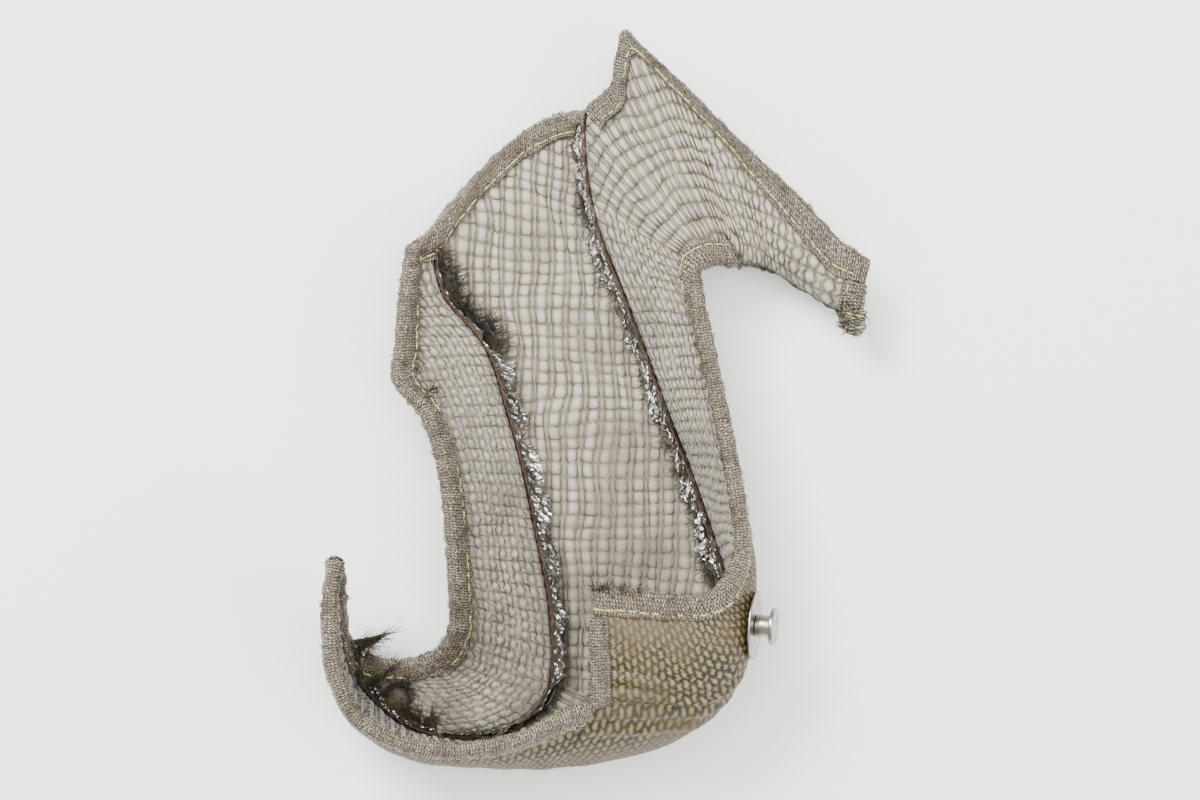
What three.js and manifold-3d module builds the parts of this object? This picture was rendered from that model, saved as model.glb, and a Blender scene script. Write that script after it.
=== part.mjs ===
// A used turbo heat blanket, opened and lying on a table with its inside up.
// A long band is sewn along its two long edges to two C-shaped side panels. Every free edge is bound in
// knitted wire tape, and the seam allowances stand up inside. Millimetres, +Z up, table at z = 0.
import * as THREE from "three";
import { mergeVertices } from "three/addons/utils/BufferGeometryUtils.js";
import Module from "manifold-3d";

// Driving dimensions: the whole blanket, as it lies
const BLANKET_WIDTH = 237; // along x
const BLANKET_LENGTH = 319; // along y

// Driving dimensions: the layers of the jacket
const CLOTH_THICKNESS = 1.1; // woven basalt outer cloth
const MESH_THICKNESS = 0.9; // knitted wire mesh of the inside
const HEM_THICKNESS = 3.4; // whole jacket, pressed flat at a hem or seam
const PUFF_THICKNESS = 8.3; // whole jacket in the middle of a panel
const PUFF_RUN = 15; // distance over which it swells to full thickness
const WALE_HEIGHT = 0.9; // ridges of the knitted mesh
const CLEARANCE = 0.35; // between pieces that touch

// Driving dimensions: binding tape, threads and seams
const TAPE_WIDTH = 10; // on each face of the jacket
const TAPE_THICKNESS = 1.2;
const THREAD_DIAMETER = 0.8;
const THREAD_LIFT = 0.75; // of a topstitch above the tape, because it bridges the tape's bends
const TOPSTITCH_INSET = 7.5; // topstitching, from the edge
const FOIL_THICKNESS = 0.4;
const ALLOWANCE_CLOTH_THICKNESS = 0.8;
const PLIES_HALF = (FOIL_THICKNESS + CLEARANCE + ALLOWANCE_CLOTH_THICKNESS) / 2; // both plies of a seam
const SEAM_CLEARANCE = 0.75; // from the plies to the edge of each panel
const SEAM_GAP = PLIES_HALF + SEAM_CLEARANCE;
const ALLOWANCE_HEIGHT = 9; // of the seam allowances above the mesh
const ALLOWANCE_LEAN = 3; // of their tops towards the band
const SEAM_THREAD_HEIGHT = 4.5; // above the mesh

// Driving dimensions: lacing anchor, turned and pressed stainless steel
const ANCHOR_STATION = 9.1; // along the right panel
const ANCHOR_ACROSS = 0.4; // share of its width, from the seam
const PLATE_DIAMETER = 29;
const PLATE_THICKNESS = 1;
const POST_DIAMETER = 9.3;
const POST_LENGTH = 6.5;
const HEAD_DIAMETER = 16;
const HEAD_THICKNESS = 1.8;
const HEAD_DISH = 0.5;
const SHANK_DIAMETER = 4;
const WASHER_DIAMETER = 14;
const WASHER_THICKNESS = 0.8;
const BATT_OVER_WASHER = 1.2;

// Rails: [station, x, y, z]. A station is about 25 mm of the band, counted from its top end. They are drawn
// for a blanket of the size below, and stretched to the size wanted.
const DRAWN_WIDTH = 237;
const DRAWN_LENGTH = 319;
const LEFT_RIM = [
  [2.15, -77, 75, 32], [3, -80, 53, 35], [4, -82, 30, 38], [4.4, -83, 18, 40],
  [5, -71, 3, 41], [6, -63, -21, 42], [7, -60, -47, 40], [8, -59, -72, 35],
  [9, -59, -88, 28], [10, -62, -96, 22], [11, -65, -101, 18], [12, -70, -104, 15],
  [13, -77, -106, 13], [14, -85, -107, 12], [15, -95, -105, 13], [16, -102, -103, 15],
];
const LEFT_SEAM = [
  [0, -72, 133, 30], [1, -70, 108, 27], [2, -69, 85, 25], [3, -65, 56, 20],
  [4, -46, 31, 13], [5, -37, 4, 10], [6, -30, -22, 9], [7, -24, -51, 8],
  [8, -19, -77, 7], [9, -17, -97, 7], [10, -17, -109, 7], [11, -18, -119, 7],
  [12, -24, -128, 7], [13, -35, -136, 7], [14, -56, -141, 7], [15, -81, -136, 8],
  [16, -101, -118, 10], [17, -106, -101, 16], [18, -108, -87, 24], [19, -108, -74, 34],
  [20, -108, -63, 46],
];
const BAND_MIDDLE = [
  [0, -37, 135, 9], [1, -36, 110, 5], [2, -33, 85, 2], [3, -26, 57, 1],
  [4, -12, 31, 1], [5, -2, 5, 1], [6, 7, -22, 1], [7, 15, -53, 1],
  [8, 21, -79, 1], [9, 26, -103, 4], [10, 27, -124, 12], [11, 22, -138, 21],
  [12, 6, -144, 30], [13, -16, -146, 36], [14, -45, -146, 38], [15, -77, -142, 38],
  [16, -100, -127, 39], [17, -109, -108, 42], [18, -111, -91, 48], [19, -110, -74, 55],
  [20, -108, -60, 62],
];
const RIGHT_SEAM = [
  [-7, 120, 68, 28], [-6, 107, 77, 32], [-5, 91, 94, 36], [-4, 69, 115, 38],
  [-3, 43, 141, 38], [-2.4, 24, 159, 38], [-2, 15, 167, 38], [-1.6, 12, 156, 36],
  [-1, 10, 144, 32], [0, -1, 133, 24], [1, -1, 109, 18], [2, 4, 84, 14],
  [3, 14, 58, 12], [4, 24, 32, 11], [5, 34, 5, 11], [6, 45, -23, 13],
  [7, 55, -52, 19], [8, 62, -76, 28], [9, 65, -95, 40], [10, 62, -112, 54],
  [11, 49, -120, 63], [12, 27, -119, 70], [13, 1, -119, 74], [14, -34, -135, 73],
  [15, -69, -138, 72], [16, -96, -127, 71], [17, -106, -110, 72], [18, -109, -93, 73],
  [19, -109, -75, 75], [20, -106, -58, 77],
];
const RIGHT_RIM = [
  [-7, 117, 39, 21], [-6, 105, 48, 17], [-5, 91, 57, 16], [-4, 78, 64, 21],
  [-3, 67, 67, 33], [-2, 59, 68, 38], [-1, 54, 68, 41], [0, 50, 67, 44],
  [1, 47, 66, 45], [2, 45, 63, 46], [3, 46, 54, 48], [4, 50, 32, 51],
  [5, 56, 4, 55], [6, 61, -23, 60], [7, 64, -48, 67], [8, 62, -60, 72],
  [9, 55, -70, 77], [10, 47, -74, 79], [11, 36, -74, 80], [12, 21, -73, 81],
  [13, 1, -71, 82],
];
// How far a panel bulges outwards at its middle: [station, bulge]. The flap rolls the other way.
const LEFT_BULGE = [[2.15, 1], [4, 4], [13, 4], [16, 1]];
const RIGHT_BULGE = [[-7, -5], [-5.5, -7], [-4, -5], [-2.5, 0], [-1, 3], [2, 5], [13, 5]];

// Where things start and stop along the stations
const LEFT_PANEL_END = 16;
const LID_END = 13;
const SEAM_START = 0.5; // the seam allowances run from here
const LEFT_SEAM_STOP = 14.5; // to here on the left
const RIGHT_SEAM_STOP = 12.5; // and to here on the right
const TOP_SLANT = 2.15; // the top end is cut aslant: the left edge starts this much later
const SLANT_RUN = 4; // and the rows are square to the band from here on
const BAND_ROWS = [
  0, 0.42, 1.2, 2, 2.8, 3.6, 4.4, 5.2, 6, 6.8, 7.6, 8.4, 9.2, 10, 10.75, 11.5, 12.25, 12.6, 13, 14,
  14.5, 15, 16, 17, 18, 19, 19.4, 20,
];
const FLAP_ROWS = [-7, -6.35, -5.7, -5, -4.2, -3.4, -2.7, -2.3, -2, -1.7, -1.2, -0.25];

// A smooth curve through knots [station, value, ...], as a function that gives the values.
function curve(knots) {
  const slopes = knots.map((knot, i) => {
    const before = knots[Math.max(i - 1, 0)];
    const after = knots[Math.min(i + 1, knots.length - 1)];
    return knot.map((_, c) => (after[c] - before[c]) / (after[0] - before[0]));
  });
  return (station) => {
    const at = Math.min(Math.max(station, knots[0][0]), knots.at(-1)[0]);
    let i = 0;
    while (i < knots.length - 2 && at > knots[i + 1][0]) i++;
    const span = knots[i + 1][0] - knots[i][0];
    const u = (at - knots[i][0]) / span;
    return knots[i].slice(1).map((value, c) => {
      const next = knots[i + 1][c + 1];
      const rise = next - value;
      const startSlope = slopes[i][c + 1] * span - rise;
      const endSlope = rise - slopes[i + 1][c + 1] * span;
      return value + rise * u + u * (1 - u) * (startSlope * (1 - u) + endSlope * u);
    });
  };
}

const vector = (values) => new THREE.Vector3(...values);
const rail = (knots) =>
  curve(
    knots.map(([station, x, y, z]) => [
      station, (x * BLANKET_WIDTH) / DRAWN_WIDTH, (y * BLANKET_LENGTH) / DRAWN_LENGTH, z,
    ]),
  );
const leftRim = rail(LEFT_RIM);
const leftSeam = rail(LEFT_SEAM);
const bandMiddle = rail(BAND_MIDDLE);
const rightSeam = rail(RIGHT_SEAM);
const rightRim = rail(RIGHT_RIM);
const leftBulge = curve(LEFT_BULGE);
const rightBulge = curve(RIGHT_BULGE);

// The parabola from a over m to b.
function across(a, m, b, t) {
  return new THREE.Vector3()
    .addScaledVector(a, (1 - t) * (1 - 2 * t))
    .addScaledVector(m, 4 * t * (1 - t))
    .addScaledVector(b, t * (2 * t - 1));
}

// Station of a row of the band at share t of its width: the rows start along the slanted top end.
function stationOf(row, t) {
  const left = Math.min(Math.max(row / SLANT_RUN, 0), 1);
  return row < 0 ? row : row + TOP_SLANT * (1 - t) ** 1.8 * (1 - left ** 2) ** 2;
}

const REST_HEIGHT = PUFF_THICKNESS / 2; // of the jacket's middle where it lies on the table

function bandPoint(row, t) {
  const station = stationOf(row, t);
  const [a, m, b] = [leftSeam, bandMiddle, rightSeam].map((along) => vector(along(station)));
  const point = across(a, m, b, t);
  point.z = Math.max(point.z, REST_HEIGHT);
  return point;
}

// A side panel between two rails, bulging outwards, which is away from the wearer of the jacket.
function panelPoint(from, to, bulge, station, t) {
  const step = 0.05;
  const [a, b] = [vector(from(station)), vector(to(station))];
  const along = vector(from(station + step))
    .add(vector(to(station + step)))
    .sub(vector(from(station - step)))
    .sub(vector(to(station - step)));
  const inward = along.cross(b.clone().sub(a)).normalize();
  const middle = a.clone().add(b).multiplyScalar(0.5).addScaledVector(inward, -bulge(station)[0]);
  return across(a, middle, b, t);
}
const leftPoint = (row, t) => panelPoint(leftRim, leftSeam, leftBulge, stationOf(row, 0), t);
const rightPoint = (row, t) => panelPoint(rightSeam, rightRim, rightBulge, row, t);

// The unit normal of a surface towards the inside of the jacket.
function inwardNormal(point, row, t) {
  const step = 0.02;
  const alongBand = point(row + step, t).sub(point(row - step, t));
  const [low, high] = [Math.max(t - step, 0), Math.min(t + step, 1)];
  return alongBand.cross(point(row, high).sub(point(row, low))).normalize();
}
const meanNormal = (a, b) => a.clone().add(b).normalize();
const leftSeamNormal = (row) =>
  meanNormal(inwardNormal(leftPoint, row, 1), inwardNormal(bandPoint, row, 0));
const rightSeamNormal = (row) =>
  meanNormal(inwardNormal(bandPoint, row, 1), inwardNormal(rightPoint, row, 0));

// The three sheets of the jacket. A side is sewn or hemmed, and a sewn side's rows share one normal.
const isSewnLeft = (row) => row <= LEFT_PANEL_END;
const isSewnRight = (row) => row >= 0 && row <= LID_END;
const never = () => false;
const SHEETS = {
  band: {
    point: bandPoint, rows: BAND_ROWS, columns: 6, hems: [true, true],
    sewn: [isSewnLeft, isSewnRight], seamNormal: [leftSeamNormal, rightSeamNormal],
  },
  left_panel: {
    point: leftPoint, rows: BAND_ROWS.filter(isSewnLeft), columns: 4, hems: [true, false],
    sewn: [never, isSewnLeft], seamNormal: [null, leftSeamNormal],
  },
  right_panel: {
    point: rightPoint, rows: [...FLAP_ROWS, ...BAND_ROWS.filter(isSewnRight)], columns: 5,
    hems: [true, true], sewn: [isSewnRight, never], seamNormal: [rightSeamNormal, null],
  },
};

// Shares of the width at which a sheet has its columns: one tape's width in from a side that has a hem.
function columnShares(sheet, row, width) {
  const tape = Math.min(TAPE_WIDTH / width, sheet.columns > 4 ? 0.3 : 0.5);
  const lastTape = sheet.columns > 4 ? 1 - tape : 1;
  const inner = sheet.columns > 4 ? sheet.columns - 2 : sheet.columns - 1;
  const shares = [0];
  for (let k = 0; k <= inner; k++) shares.push(tape + ((lastTape - tape) * k) / inner);
  if (sheet.columns > 4) shares.push(1);
  if (sheet.sewn[0](row)) shares[0] = SEAM_GAP / width;
  if (sheet.sewn[1](row)) shares[sheet.columns] = 1 - SEAM_GAP / width;
  return shares;
}

const ramp = (distance) => Math.sin((Math.min(Math.max(distance / PUFF_RUN, 0), 1) * Math.PI) / 2);

// Mid-surface points, normals and thicknesses of a sheet at its rows and columns.
function gridOf(sheet) {
  const { point, rows } = sheet;
  const grid = { points: [], normals: [], thickness: [] };
  for (const row of rows) {
    const middle = point(row, 0.5);
    const width = middle.distanceTo(point(row, 0)) + middle.distanceTo(point(row, 1));
    const fromEnds = [rows[0], rows.at(-1)].map((end, k) =>
      sheet.hems[k] ? middle.distanceTo(point(end, 0.5)) - TAPE_WIDTH : Infinity,
    );
    const shares = columnShares(sheet, row, width);
    grid.points.push(shares.map((t) => point(row, t)));
    grid.normals.push(
      shares.map((t, j) => {
        const side = j === 0 ? 0 : j === sheet.columns ? 1 : -1;
        const sewn = side >= 0 && sheet.sewn[side](row);
        return sewn ? sheet.seamNormal[side](row) : inwardNormal(point, row, t);
      }),
    );
    grid.thickness.push(
      shares.map((t) => {
        const fromSides = [t * width, (1 - t) * width].map((distance, k) =>
          sheet.sewn[k](row) ? distance : distance - TAPE_WIDTH,
        );
        const puff = ramp(Math.min(...fromSides, ...fromEnds));
        return HEM_THICKNESS + (PUFF_THICKNESS - HEM_THICKNESS) * puff;
      }),
    );
  }
  return grid;
}

// A mesh geometry from triangles, turned so that its faces point outwards.
function solid(triangles) {
  let volume = 0;
  for (const [a, b, c] of triangles) volume += a.dot(b.clone().cross(c));
  const facing = volume < 0 ? triangles.map(([a, b, c]) => [a, c, b]) : triangles;
  return new THREE.BufferGeometry().setFromPoints(facing.flat());
}

// A closed slab between two faces. splits says into how many columns the top divides each of the bottom's.
function slab(top, bottom, splits = bottom[0].slice(1).map(() => 1)) {
  const triangles = [];
  const quads = (face, flip) => {
    for (let i = 0; i < face.length - 1; i++) {
      for (let j = 0; j < face[i].length - 1; j++) {
        const [a, b, c, d] = [face[i][j], face[i + 1][j], face[i][j + 1], face[i + 1][j + 1]];
        triangles.push(flip ? [a, c, b] : [a, b, c], flip ? [b, c, d] : [b, d, c]);
      }
    }
  };
  quads(top, false);
  quads(bottom, true);
  const side = (j, k, flip) => {
    for (let i = 0; i < top.length - 1; i++) {
      const [a, b, c, d] = [top[i][j], bottom[i][k], top[i + 1][j], bottom[i + 1][k]];
      triangles.push(flip ? [a, c, b] : [a, b, c], flip ? [b, c, d] : [b, d, c]);
    }
  };
  side(0, 0, false);
  side(top[0].length - 1, bottom[0].length - 1, true);
  const end = (i, flip) => {
    const push = (a, b, c) => triangles.push(flip ? [a, c, b] : [a, b, c]);
    let first = 0;
    splits.forEach((finer, k) => {
      const half = first + Math.floor(finer / 2);
      for (let f = first; f < first + finer; f++) {
        push(top[i][f], top[i][f + 1], bottom[i][f < half ? k : k + 1]);
      }
      push(top[i][half], bottom[i][k + 1], bottom[i][k]);
      first += finer;
    });
  };
  end(0, false);
  end(top.length - 1, true);
  return solid(triangles);
}

// A face of a sheet, at an offset from the mid-surface that depends on the thickness there.
function faceOf(grid, offset) {
  return grid.points.map((row, i) =>
    row.map((p, j) => p.clone().addScaledVector(grid.normals[i][j], offset(grid.thickness[i][j]))),
  );
}

const WALES_PER_COLUMN = 2;

// The same face with ridges along the band, each a wale of the knitting, none under the tapes.
function ridgedFaceOf(grid, offset, splits) {
  return faceOf(grid, offset).map((row, i) => {
    const ridged = [row[0]];
    splits.forEach((finer, j) => {
      for (let f = 1; f <= finer; f++) {
        const u = f / finer;
        const thickness = THREE.MathUtils.lerp(grid.thickness[i][j], grid.thickness[i][j + 1], u);
        const swell = (thickness - HEM_THICKNESS) / (PUFF_THICKNESS - HEM_THICKNESS);
        const normal = grid.normals[i][j].clone().lerp(grid.normals[i][j + 1], u).normalize();
        const height = f % 2 ? WALE_HEIGHT * swell : 0;
        ridged.push(row[j].clone().lerp(row[j + 1], u).addScaledVector(normal, height));
      }
    });
    return ridged;
  });
}

const toOutside = (depth) => (thickness) => -thickness / 2 + depth;
const toInside = (depth) => (thickness) => thickness / 2 - depth;

function outerCloth(grid) {
  const outside = faceOf(grid, toOutside(0));
  for (const p of outside.flat()) p.z = Math.max(p.z, 0);
  return slab(faceOf(grid, toOutside(CLOTH_THICKNESS)), outside);
}
function woolBatt(grid) {
  const inside = faceOf(grid, toInside(MESH_THICKNESS + CLEARANCE));
  return slab(inside, faceOf(grid, toOutside(CLOTH_THICKNESS + CLEARANCE)));
}
// A column that lies under a tape all along has no wales.
function wireMesh(grid, sheet) {
  const splits = Array(sheet.columns).fill(2 * WALES_PER_COLUMN);
  if (sheet.sewn[0] === never) splits[0] = 1;
  if (sheet.sewn[1] === never) splits[sheet.columns - 1] = 1;
  const inside = ridgedFaceOf(grid, toInside(0), splits);
  return slab(inside, faceOf(grid, toInside(MESH_THICKNESS)), splits);
}

// A closed tube through sections with equal numbers of points. flat is one section laid out in a plane.
// crossed says which of its faces are split along their other diagonal, as the face beside them is.
function sweep(sections, flat, crossed = () => false) {
  const triangles = [];
  const count = flat.length;
  for (let i = 0; i < sections.length - 1; i++) {
    for (let k = 0; k < count; k++) {
      const next = (k + 1) % count;
      const [a, b] = [sections[i][k], sections[i][next]];
      const [c, d] = [sections[i + 1][k], sections[i + 1][next]];
      if (crossed(k, next)) triangles.push([a, b, d], [a, d, c]);
      else triangles.push([a, b, c], [b, d, c]);
    }
  }
  for (const [a, b, c] of THREE.ShapeUtils.triangulateShape(flat, [])) {
    const [first, last] = [sections[0], sections.at(-1)];
    const forward = THREE.ShapeUtils.area(flat) > 0;
    triangles.push(forward ? [first[a], first[c], first[b]] : [first[a], first[b], first[c]]);
    triangles.push(forward ? [last[a], last[b], last[c]] : [last[a], last[c], last[b]]);
  }
  return solid(triangles);
}

// A place on a sheet at a row and column that may lie between the grid's own.
function placeOn(grid, i, j) {
  const [i0, j0] = [Math.floor(i), Math.floor(j)];
  const [i1, j1] = [Math.ceil(i), Math.ceil(j)];
  const mix = (a, b, c, d) => a.clone().lerp(b, j - j0).lerp(c.clone().lerp(d, j - j0), i - i0);
  const { points, normals } = grid;
  return {
    point: mix(points[i0][j0], points[i0][j1], points[i1][j0], points[i1][j1]),
    normal: mix(normals[i0][j0], normals[i0][j1], normals[i1][j0], normals[i1][j1]).normalize(),
  };
}

// The stations of a tape: each has a place on the edge and one a tape's width in from it. innerFirst says
// that the sheet's cells are split from the inner place of one station to the edge of the next.
function sideStations(grid, column, innerColumn, from, to) {
  const stations = [];
  for (let i = from; i <= to; i++) {
    stations.push({ edge: placeOn(grid, i, column), inner: placeOn(grid, i, innerColumn) });
  }
  return Object.assign(stations, { innerFirst: innerColumn > column });
}
function endStations(grid, row, innerRow, columns) {
  const stations = columns.map((j) => ({
    edge: placeOn(grid, row, j),
    inner: placeOn(grid, innerRow, j),
  }));
  return Object.assign(stations, { innerFirst: innerRow > row });
}

const TAPE_INSIDE = HEM_THICKNESS / 2 + CLEARANCE;
const TAPE_OUTSIDE = TAPE_INSIDE + TAPE_THICKNESS;
const TAPE_NOSE = CLEARANCE + TAPE_THICKNESS;
const TAPE_REACH = 1 - CLEARANCE / TAPE_WIDTH;
// The tape's section: share of the way from the edge inwards, distance beyond the edge, height.
const TAPE_SECTION = [
  [TAPE_REACH, 0, TAPE_OUTSIDE], [0, 0, TAPE_OUTSIDE], [0, TAPE_NOSE, 0.6 * TAPE_OUTSIDE],
  [0, TAPE_NOSE, -0.6 * TAPE_OUTSIDE], [0, 0, -TAPE_OUTSIDE], [TAPE_REACH, 0, -TAPE_OUTSIDE],
  [TAPE_REACH, 0, -TAPE_INSIDE], [0, CLEARANCE, -TAPE_INSIDE], [0, CLEARANCE, TAPE_INSIDE],
  [TAPE_REACH, 0, TAPE_INSIDE],
];

function tapeSection({ edge, inner }) {
  const outwards = edge.point.clone().sub(inner.point).normalize();
  return TAPE_SECTION.map(([share, beyond, height]) =>
    edge.point
      .clone()
      .lerp(inner.point, share)
      .addScaledVector(outwards, beyond)
      .addScaledVector(share ? inner.normal : edge.normal, height),
  );
}
function bindingTape(stations) {
  const flat = TAPE_SECTION.map(
    ([share, beyond, height]) => new THREE.Vector2(beyond - share * TAPE_WIDTH, height),
  );
  const shares = TAPE_SECTION.map(([share]) => share);
  const crossed = (k, next) =>
    shares[k] !== shares[next] && shares[next] > shares[k] !== stations.innerFirst;
  return sweep(stations.map(tapeSection), flat, crossed);
}

// Topstitching on one face of a tape: 1 for the inside of the jacket, -1 for the outside.
function topstitch(stations, face) {
  const radius = THREAD_DIAMETER / 2;
  const height = face * (TAPE_OUTSIDE + THREAD_LIFT + radius);
  const corners = [[radius, 0], [0, radius], [-radius, 0], [0, -radius]];
  const sections = stations.map(({ edge, inner }) => {
    const inwards = inner.point.clone().sub(edge.point);
    const share = Math.min(TOPSTITCH_INSET / inwards.length(), 0.75);
    const normal = edge.normal.clone().lerp(inner.normal, share).normalize();
    const centre = edge.point.clone().addScaledVector(inwards, share).addScaledVector(normal, height);
    const sideways = inwards.normalize();
    return corners.map(([x, y]) =>
      centre.clone().addScaledVector(sideways, x).addScaledVector(normal, y),
    );
  });
  return sweep(sections, corners.map(([x, y]) => new THREE.Vector2(x, y)));
}

// Seam allowances: plies that run up through a seam's slot and stand above the mesh, leaning and ruffled.
// side is -1 for the seam on the band's left, seen from above, and 1 for the one on its right.
function seamFrame(point, seamNormal, row, side) {
  const normal = seamNormal(row);
  const along = point(row + 0.02).sub(point(row - 0.02)).normalize();
  const towardsBand = along.clone().cross(normal).multiplyScalar(side).normalize();
  return { base: point(row), normal, towardsBand };
}
const leftSeamFrame = (row) =>
  seamFrame((r) => vector(leftSeam(stationOf(r, 0))), leftSeamNormal, row, -1);
const rightSeamFrame = (row) => seamFrame((r) => vector(rightSeam(r)), rightSeamNormal, row, 1);

const ruffle = (row) => 0.6 * Math.sin(4.7 * row) + 0.4 * Math.sin(7.9 * row + 1);
const tornHeight = (row) => ALLOWANCE_HEIGHT * (0.9 + 0.1 * Math.sin(3.1 * row));
const allowanceShift = (row, height) =>
  (ALLOWANCE_LEAN + ruffle(row)) * (height / ALLOWANCE_HEIGHT) ** 2;

function allowancePly(frameOf, rows, near, far) {
  const surface = HEM_THICKNESS / 2;
  const levels = [-surface + CLEARANCE, surface, surface + ALLOWANCE_HEIGHT / 2, surface + ALLOWANCE_HEIGHT];
  const outline = [...levels.map((h) => [near, h]), ...levels.reverse().map((h) => [far, h])];
  const sections = rows.map((row) => {
    const { base, normal, towardsBand } = frameOf(row);
    return outline.map(([lateral, level]) => {
      const above = Math.max(level - surface, 0);
      const height = Math.min(level, surface) + (above * tornHeight(row)) / ALLOWANCE_HEIGHT;
      return base
        .clone()
        .addScaledVector(normal, height)
        .addScaledVector(towardsBand, lateral + allowanceShift(row, above));
    });
  });
  const flat = outline.map(([x, y]) => new THREE.Vector2(x, y));
  return sweep(sections, flat, (k, next) => outline[next][1] < outline[k][1]);
}
const foilPly = (frameOf, rows) =>
  allowancePly(frameOf, rows, -PLIES_HALF, FOIL_THICKNESS - PLIES_HALF);
const clothPly = (frameOf, rows) =>
  allowancePly(frameOf, rows, PLIES_HALF - ALLOWANCE_CLOTH_THICKNESS, PLIES_HALF);

function seamThread(frameOf, rows) {
  const radius = THREAD_DIAMETER / 2;
  const corners = [[radius, 0], [0, radius], [-radius, 0], [0, -radius]];
  const lateral = -PLIES_HALF - CLEARANCE - radius;
  const sections = rows.map((row) => {
    const { base, normal, towardsBand } = frameOf(row);
    return corners.map(([x, y]) =>
      base
        .clone()
        .addScaledVector(normal, HEM_THICKNESS / 2 + SEAM_THREAD_HEIGHT + y)
        .addScaledVector(towardsBand, lateral + allowanceShift(row, SEAM_THREAD_HEIGHT) + x),
    );
  });
  return sweep(sections, corners.map(([x, y]) => new THREE.Vector2(x, y)));
}

const wasm = await Module();
wasm.setup();

function toManifold(geometry) {
  const bare = geometry.index ? geometry.toNonIndexed() : geometry.clone();
  bare.deleteAttribute("normal");
  bare.deleteAttribute("uv");
  const merged = mergeVertices(bare, 1e-3);
  return new wasm.Manifold(
    new wasm.Mesh({
      numProp: 3,
      vertProperties: merged.attributes.position.array,
      triVerts: new Uint32Array(merged.index.array),
    }),
  );
}
function fromManifold(body) {
  const mesh = body.getMesh();
  return new THREE.BufferGeometry()
    .setAttribute("position", new THREE.BufferAttribute(mesh.vertProperties, mesh.numProp))
    .setIndex(new THREE.BufferAttribute(mesh.triVerts, 1));
}
const cutFrom = (geometry, ...tools) =>
  fromManifold(tools.reduce((body, tool) => body.subtract(toManifold(tool)), toManifold(geometry)));

// Materials, one per finish
const finish = (color, roughness, metalness) =>
  new THREE.MeshStandardMaterial({ color, roughness, metalness, flatShading: true });
const basaltCloth = finish(0x8a7d4e, 0.8, 0);
const whiteWool = finish(0xd5cfc0, 0.95, 0);
const knittedWire = finish(0xa9a294, 0.55, 0.4);
const wireTape = finish(0x6f685a, 0.6, 0.4);
const yellowThread = finish(0xd2cf7a, 0.7, 0);
const redThread = finish(0x7a3a24, 0.8, 0);
const foil = finish(0xb9b9b4, 0.3, 0.9);
const stainless = finish(0xc4c2bd, 0.3, 1);

const blanket = new THREE.Group();
function add(name, geometry, material, place) {
  const mesh = new THREE.Mesh(geometry, material);
  mesh.name = name;
  if (place) mesh.applyMatrix4(place);
  blanket.add(mesh);
  return mesh;
}

const grids = Object.fromEntries(Object.entries(SHEETS).map(([name, sheet]) => [name, gridOf(sheet)]));
const { band, left_panel: left, right_panel: right } = grids;

// The anchor's own frame: +Y along its axis, away from the jacket, from the cloth's outer face.
const anchorPoint = rightPoint(ANCHOR_STATION, ANCHOR_ACROSS);
const anchorAxis = inwardNormal(rightPoint, ANCHOR_STATION, ANCHOR_ACROSS).negate();
const clothFace = faceOf(right, toOutside(0)).flat();
const reach = Math.max(
  ...clothFace
    .filter((p) => p.distanceTo(anchorPoint) < PLATE_DIAMETER)
    .map((p) => p.clone().sub(anchorPoint).dot(anchorAxis)),
  PUFF_THICKNESS / 2,
);
const anchorPlace = new THREE.Matrix4().compose(
  anchorPoint.clone().addScaledVector(anchorAxis, reach + CLEARANCE),
  new THREE.Quaternion().setFromUnitVectors(new THREE.Vector3(0, 1, 0), anchorAxis),
  new THREE.Vector3(1, 1, 1),
);
const ROUND_SIDES = 20;
const turned = (profile) =>
  new THREE.LatheGeometry(profile.map(([r, y]) => new THREE.Vector2(r, y)), ROUND_SIDES);
const ring = (inner, outer, low, high) =>
  turned([[inner, low], [outer, low], [outer, high], [inner, high], [inner, low]]);
const disc = (radius, low, high) => turned([[0, low], [radius, low], [radius, high], [0, high]]);

const SHANK_CLEARANCE_RADIUS = SHANK_DIAMETER / 2 + CLEARANCE;
const WASHER_TOP = -CLEARANCE - CLOTH_THICKNESS - 2 * CLEARANCE - BATT_OVER_WASHER;
const WASHER_BOTTOM = WASHER_TOP - WASHER_THICKNESS;
const shankHole = disc(SHANK_CLEARANCE_RADIUS, WASHER_TOP - PUFF_THICKNESS, CLEARANCE + PLATE_THICKNESS);
const washerPocket = disc(
  WASHER_DIAMETER / 2 + CLEARANCE,
  WASHER_BOTTOM - 2 * CLEARANCE,
  WASHER_TOP + PUFF_THICKNESS,
);
shankHole.applyMatrix4(anchorPlace);
washerPocket.applyMatrix4(anchorPlace);

for (const [name, grid] of Object.entries(grids)) {
  const cloth = outerCloth(grid);
  const batt = woolBatt(grid);
  const isAnchored = grid === right;
  add(`${name}_outer_cloth`, isAnchored ? cutFrom(cloth, shankHole) : cloth, basaltCloth);
  add(`${name}_wool_batt`, isAnchored ? cutFrom(batt, washerPocket) : batt, whiteWool);
  add(`${name}_wire_mesh`, wireMesh(grid, SHEETS[name]), knittedWire);
}

// Tapes and their topstitching
const rowIndex = (sheet, row) => SHEETS[sheet].rows.indexOf(row);
const lastRow = (grid) => grid.points.length - 1;
const lastColumn = (grid) => grid.points[0].length - 1;
const cornerGap = 0.08; // in columns, where an end's tape stops short of a side's tape
const between = (from, to) => {
  const columns = [from];
  for (let j = Math.floor(from) + 1; j < to; j++) columns.push(j);
  return [...columns, to];
};

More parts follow.
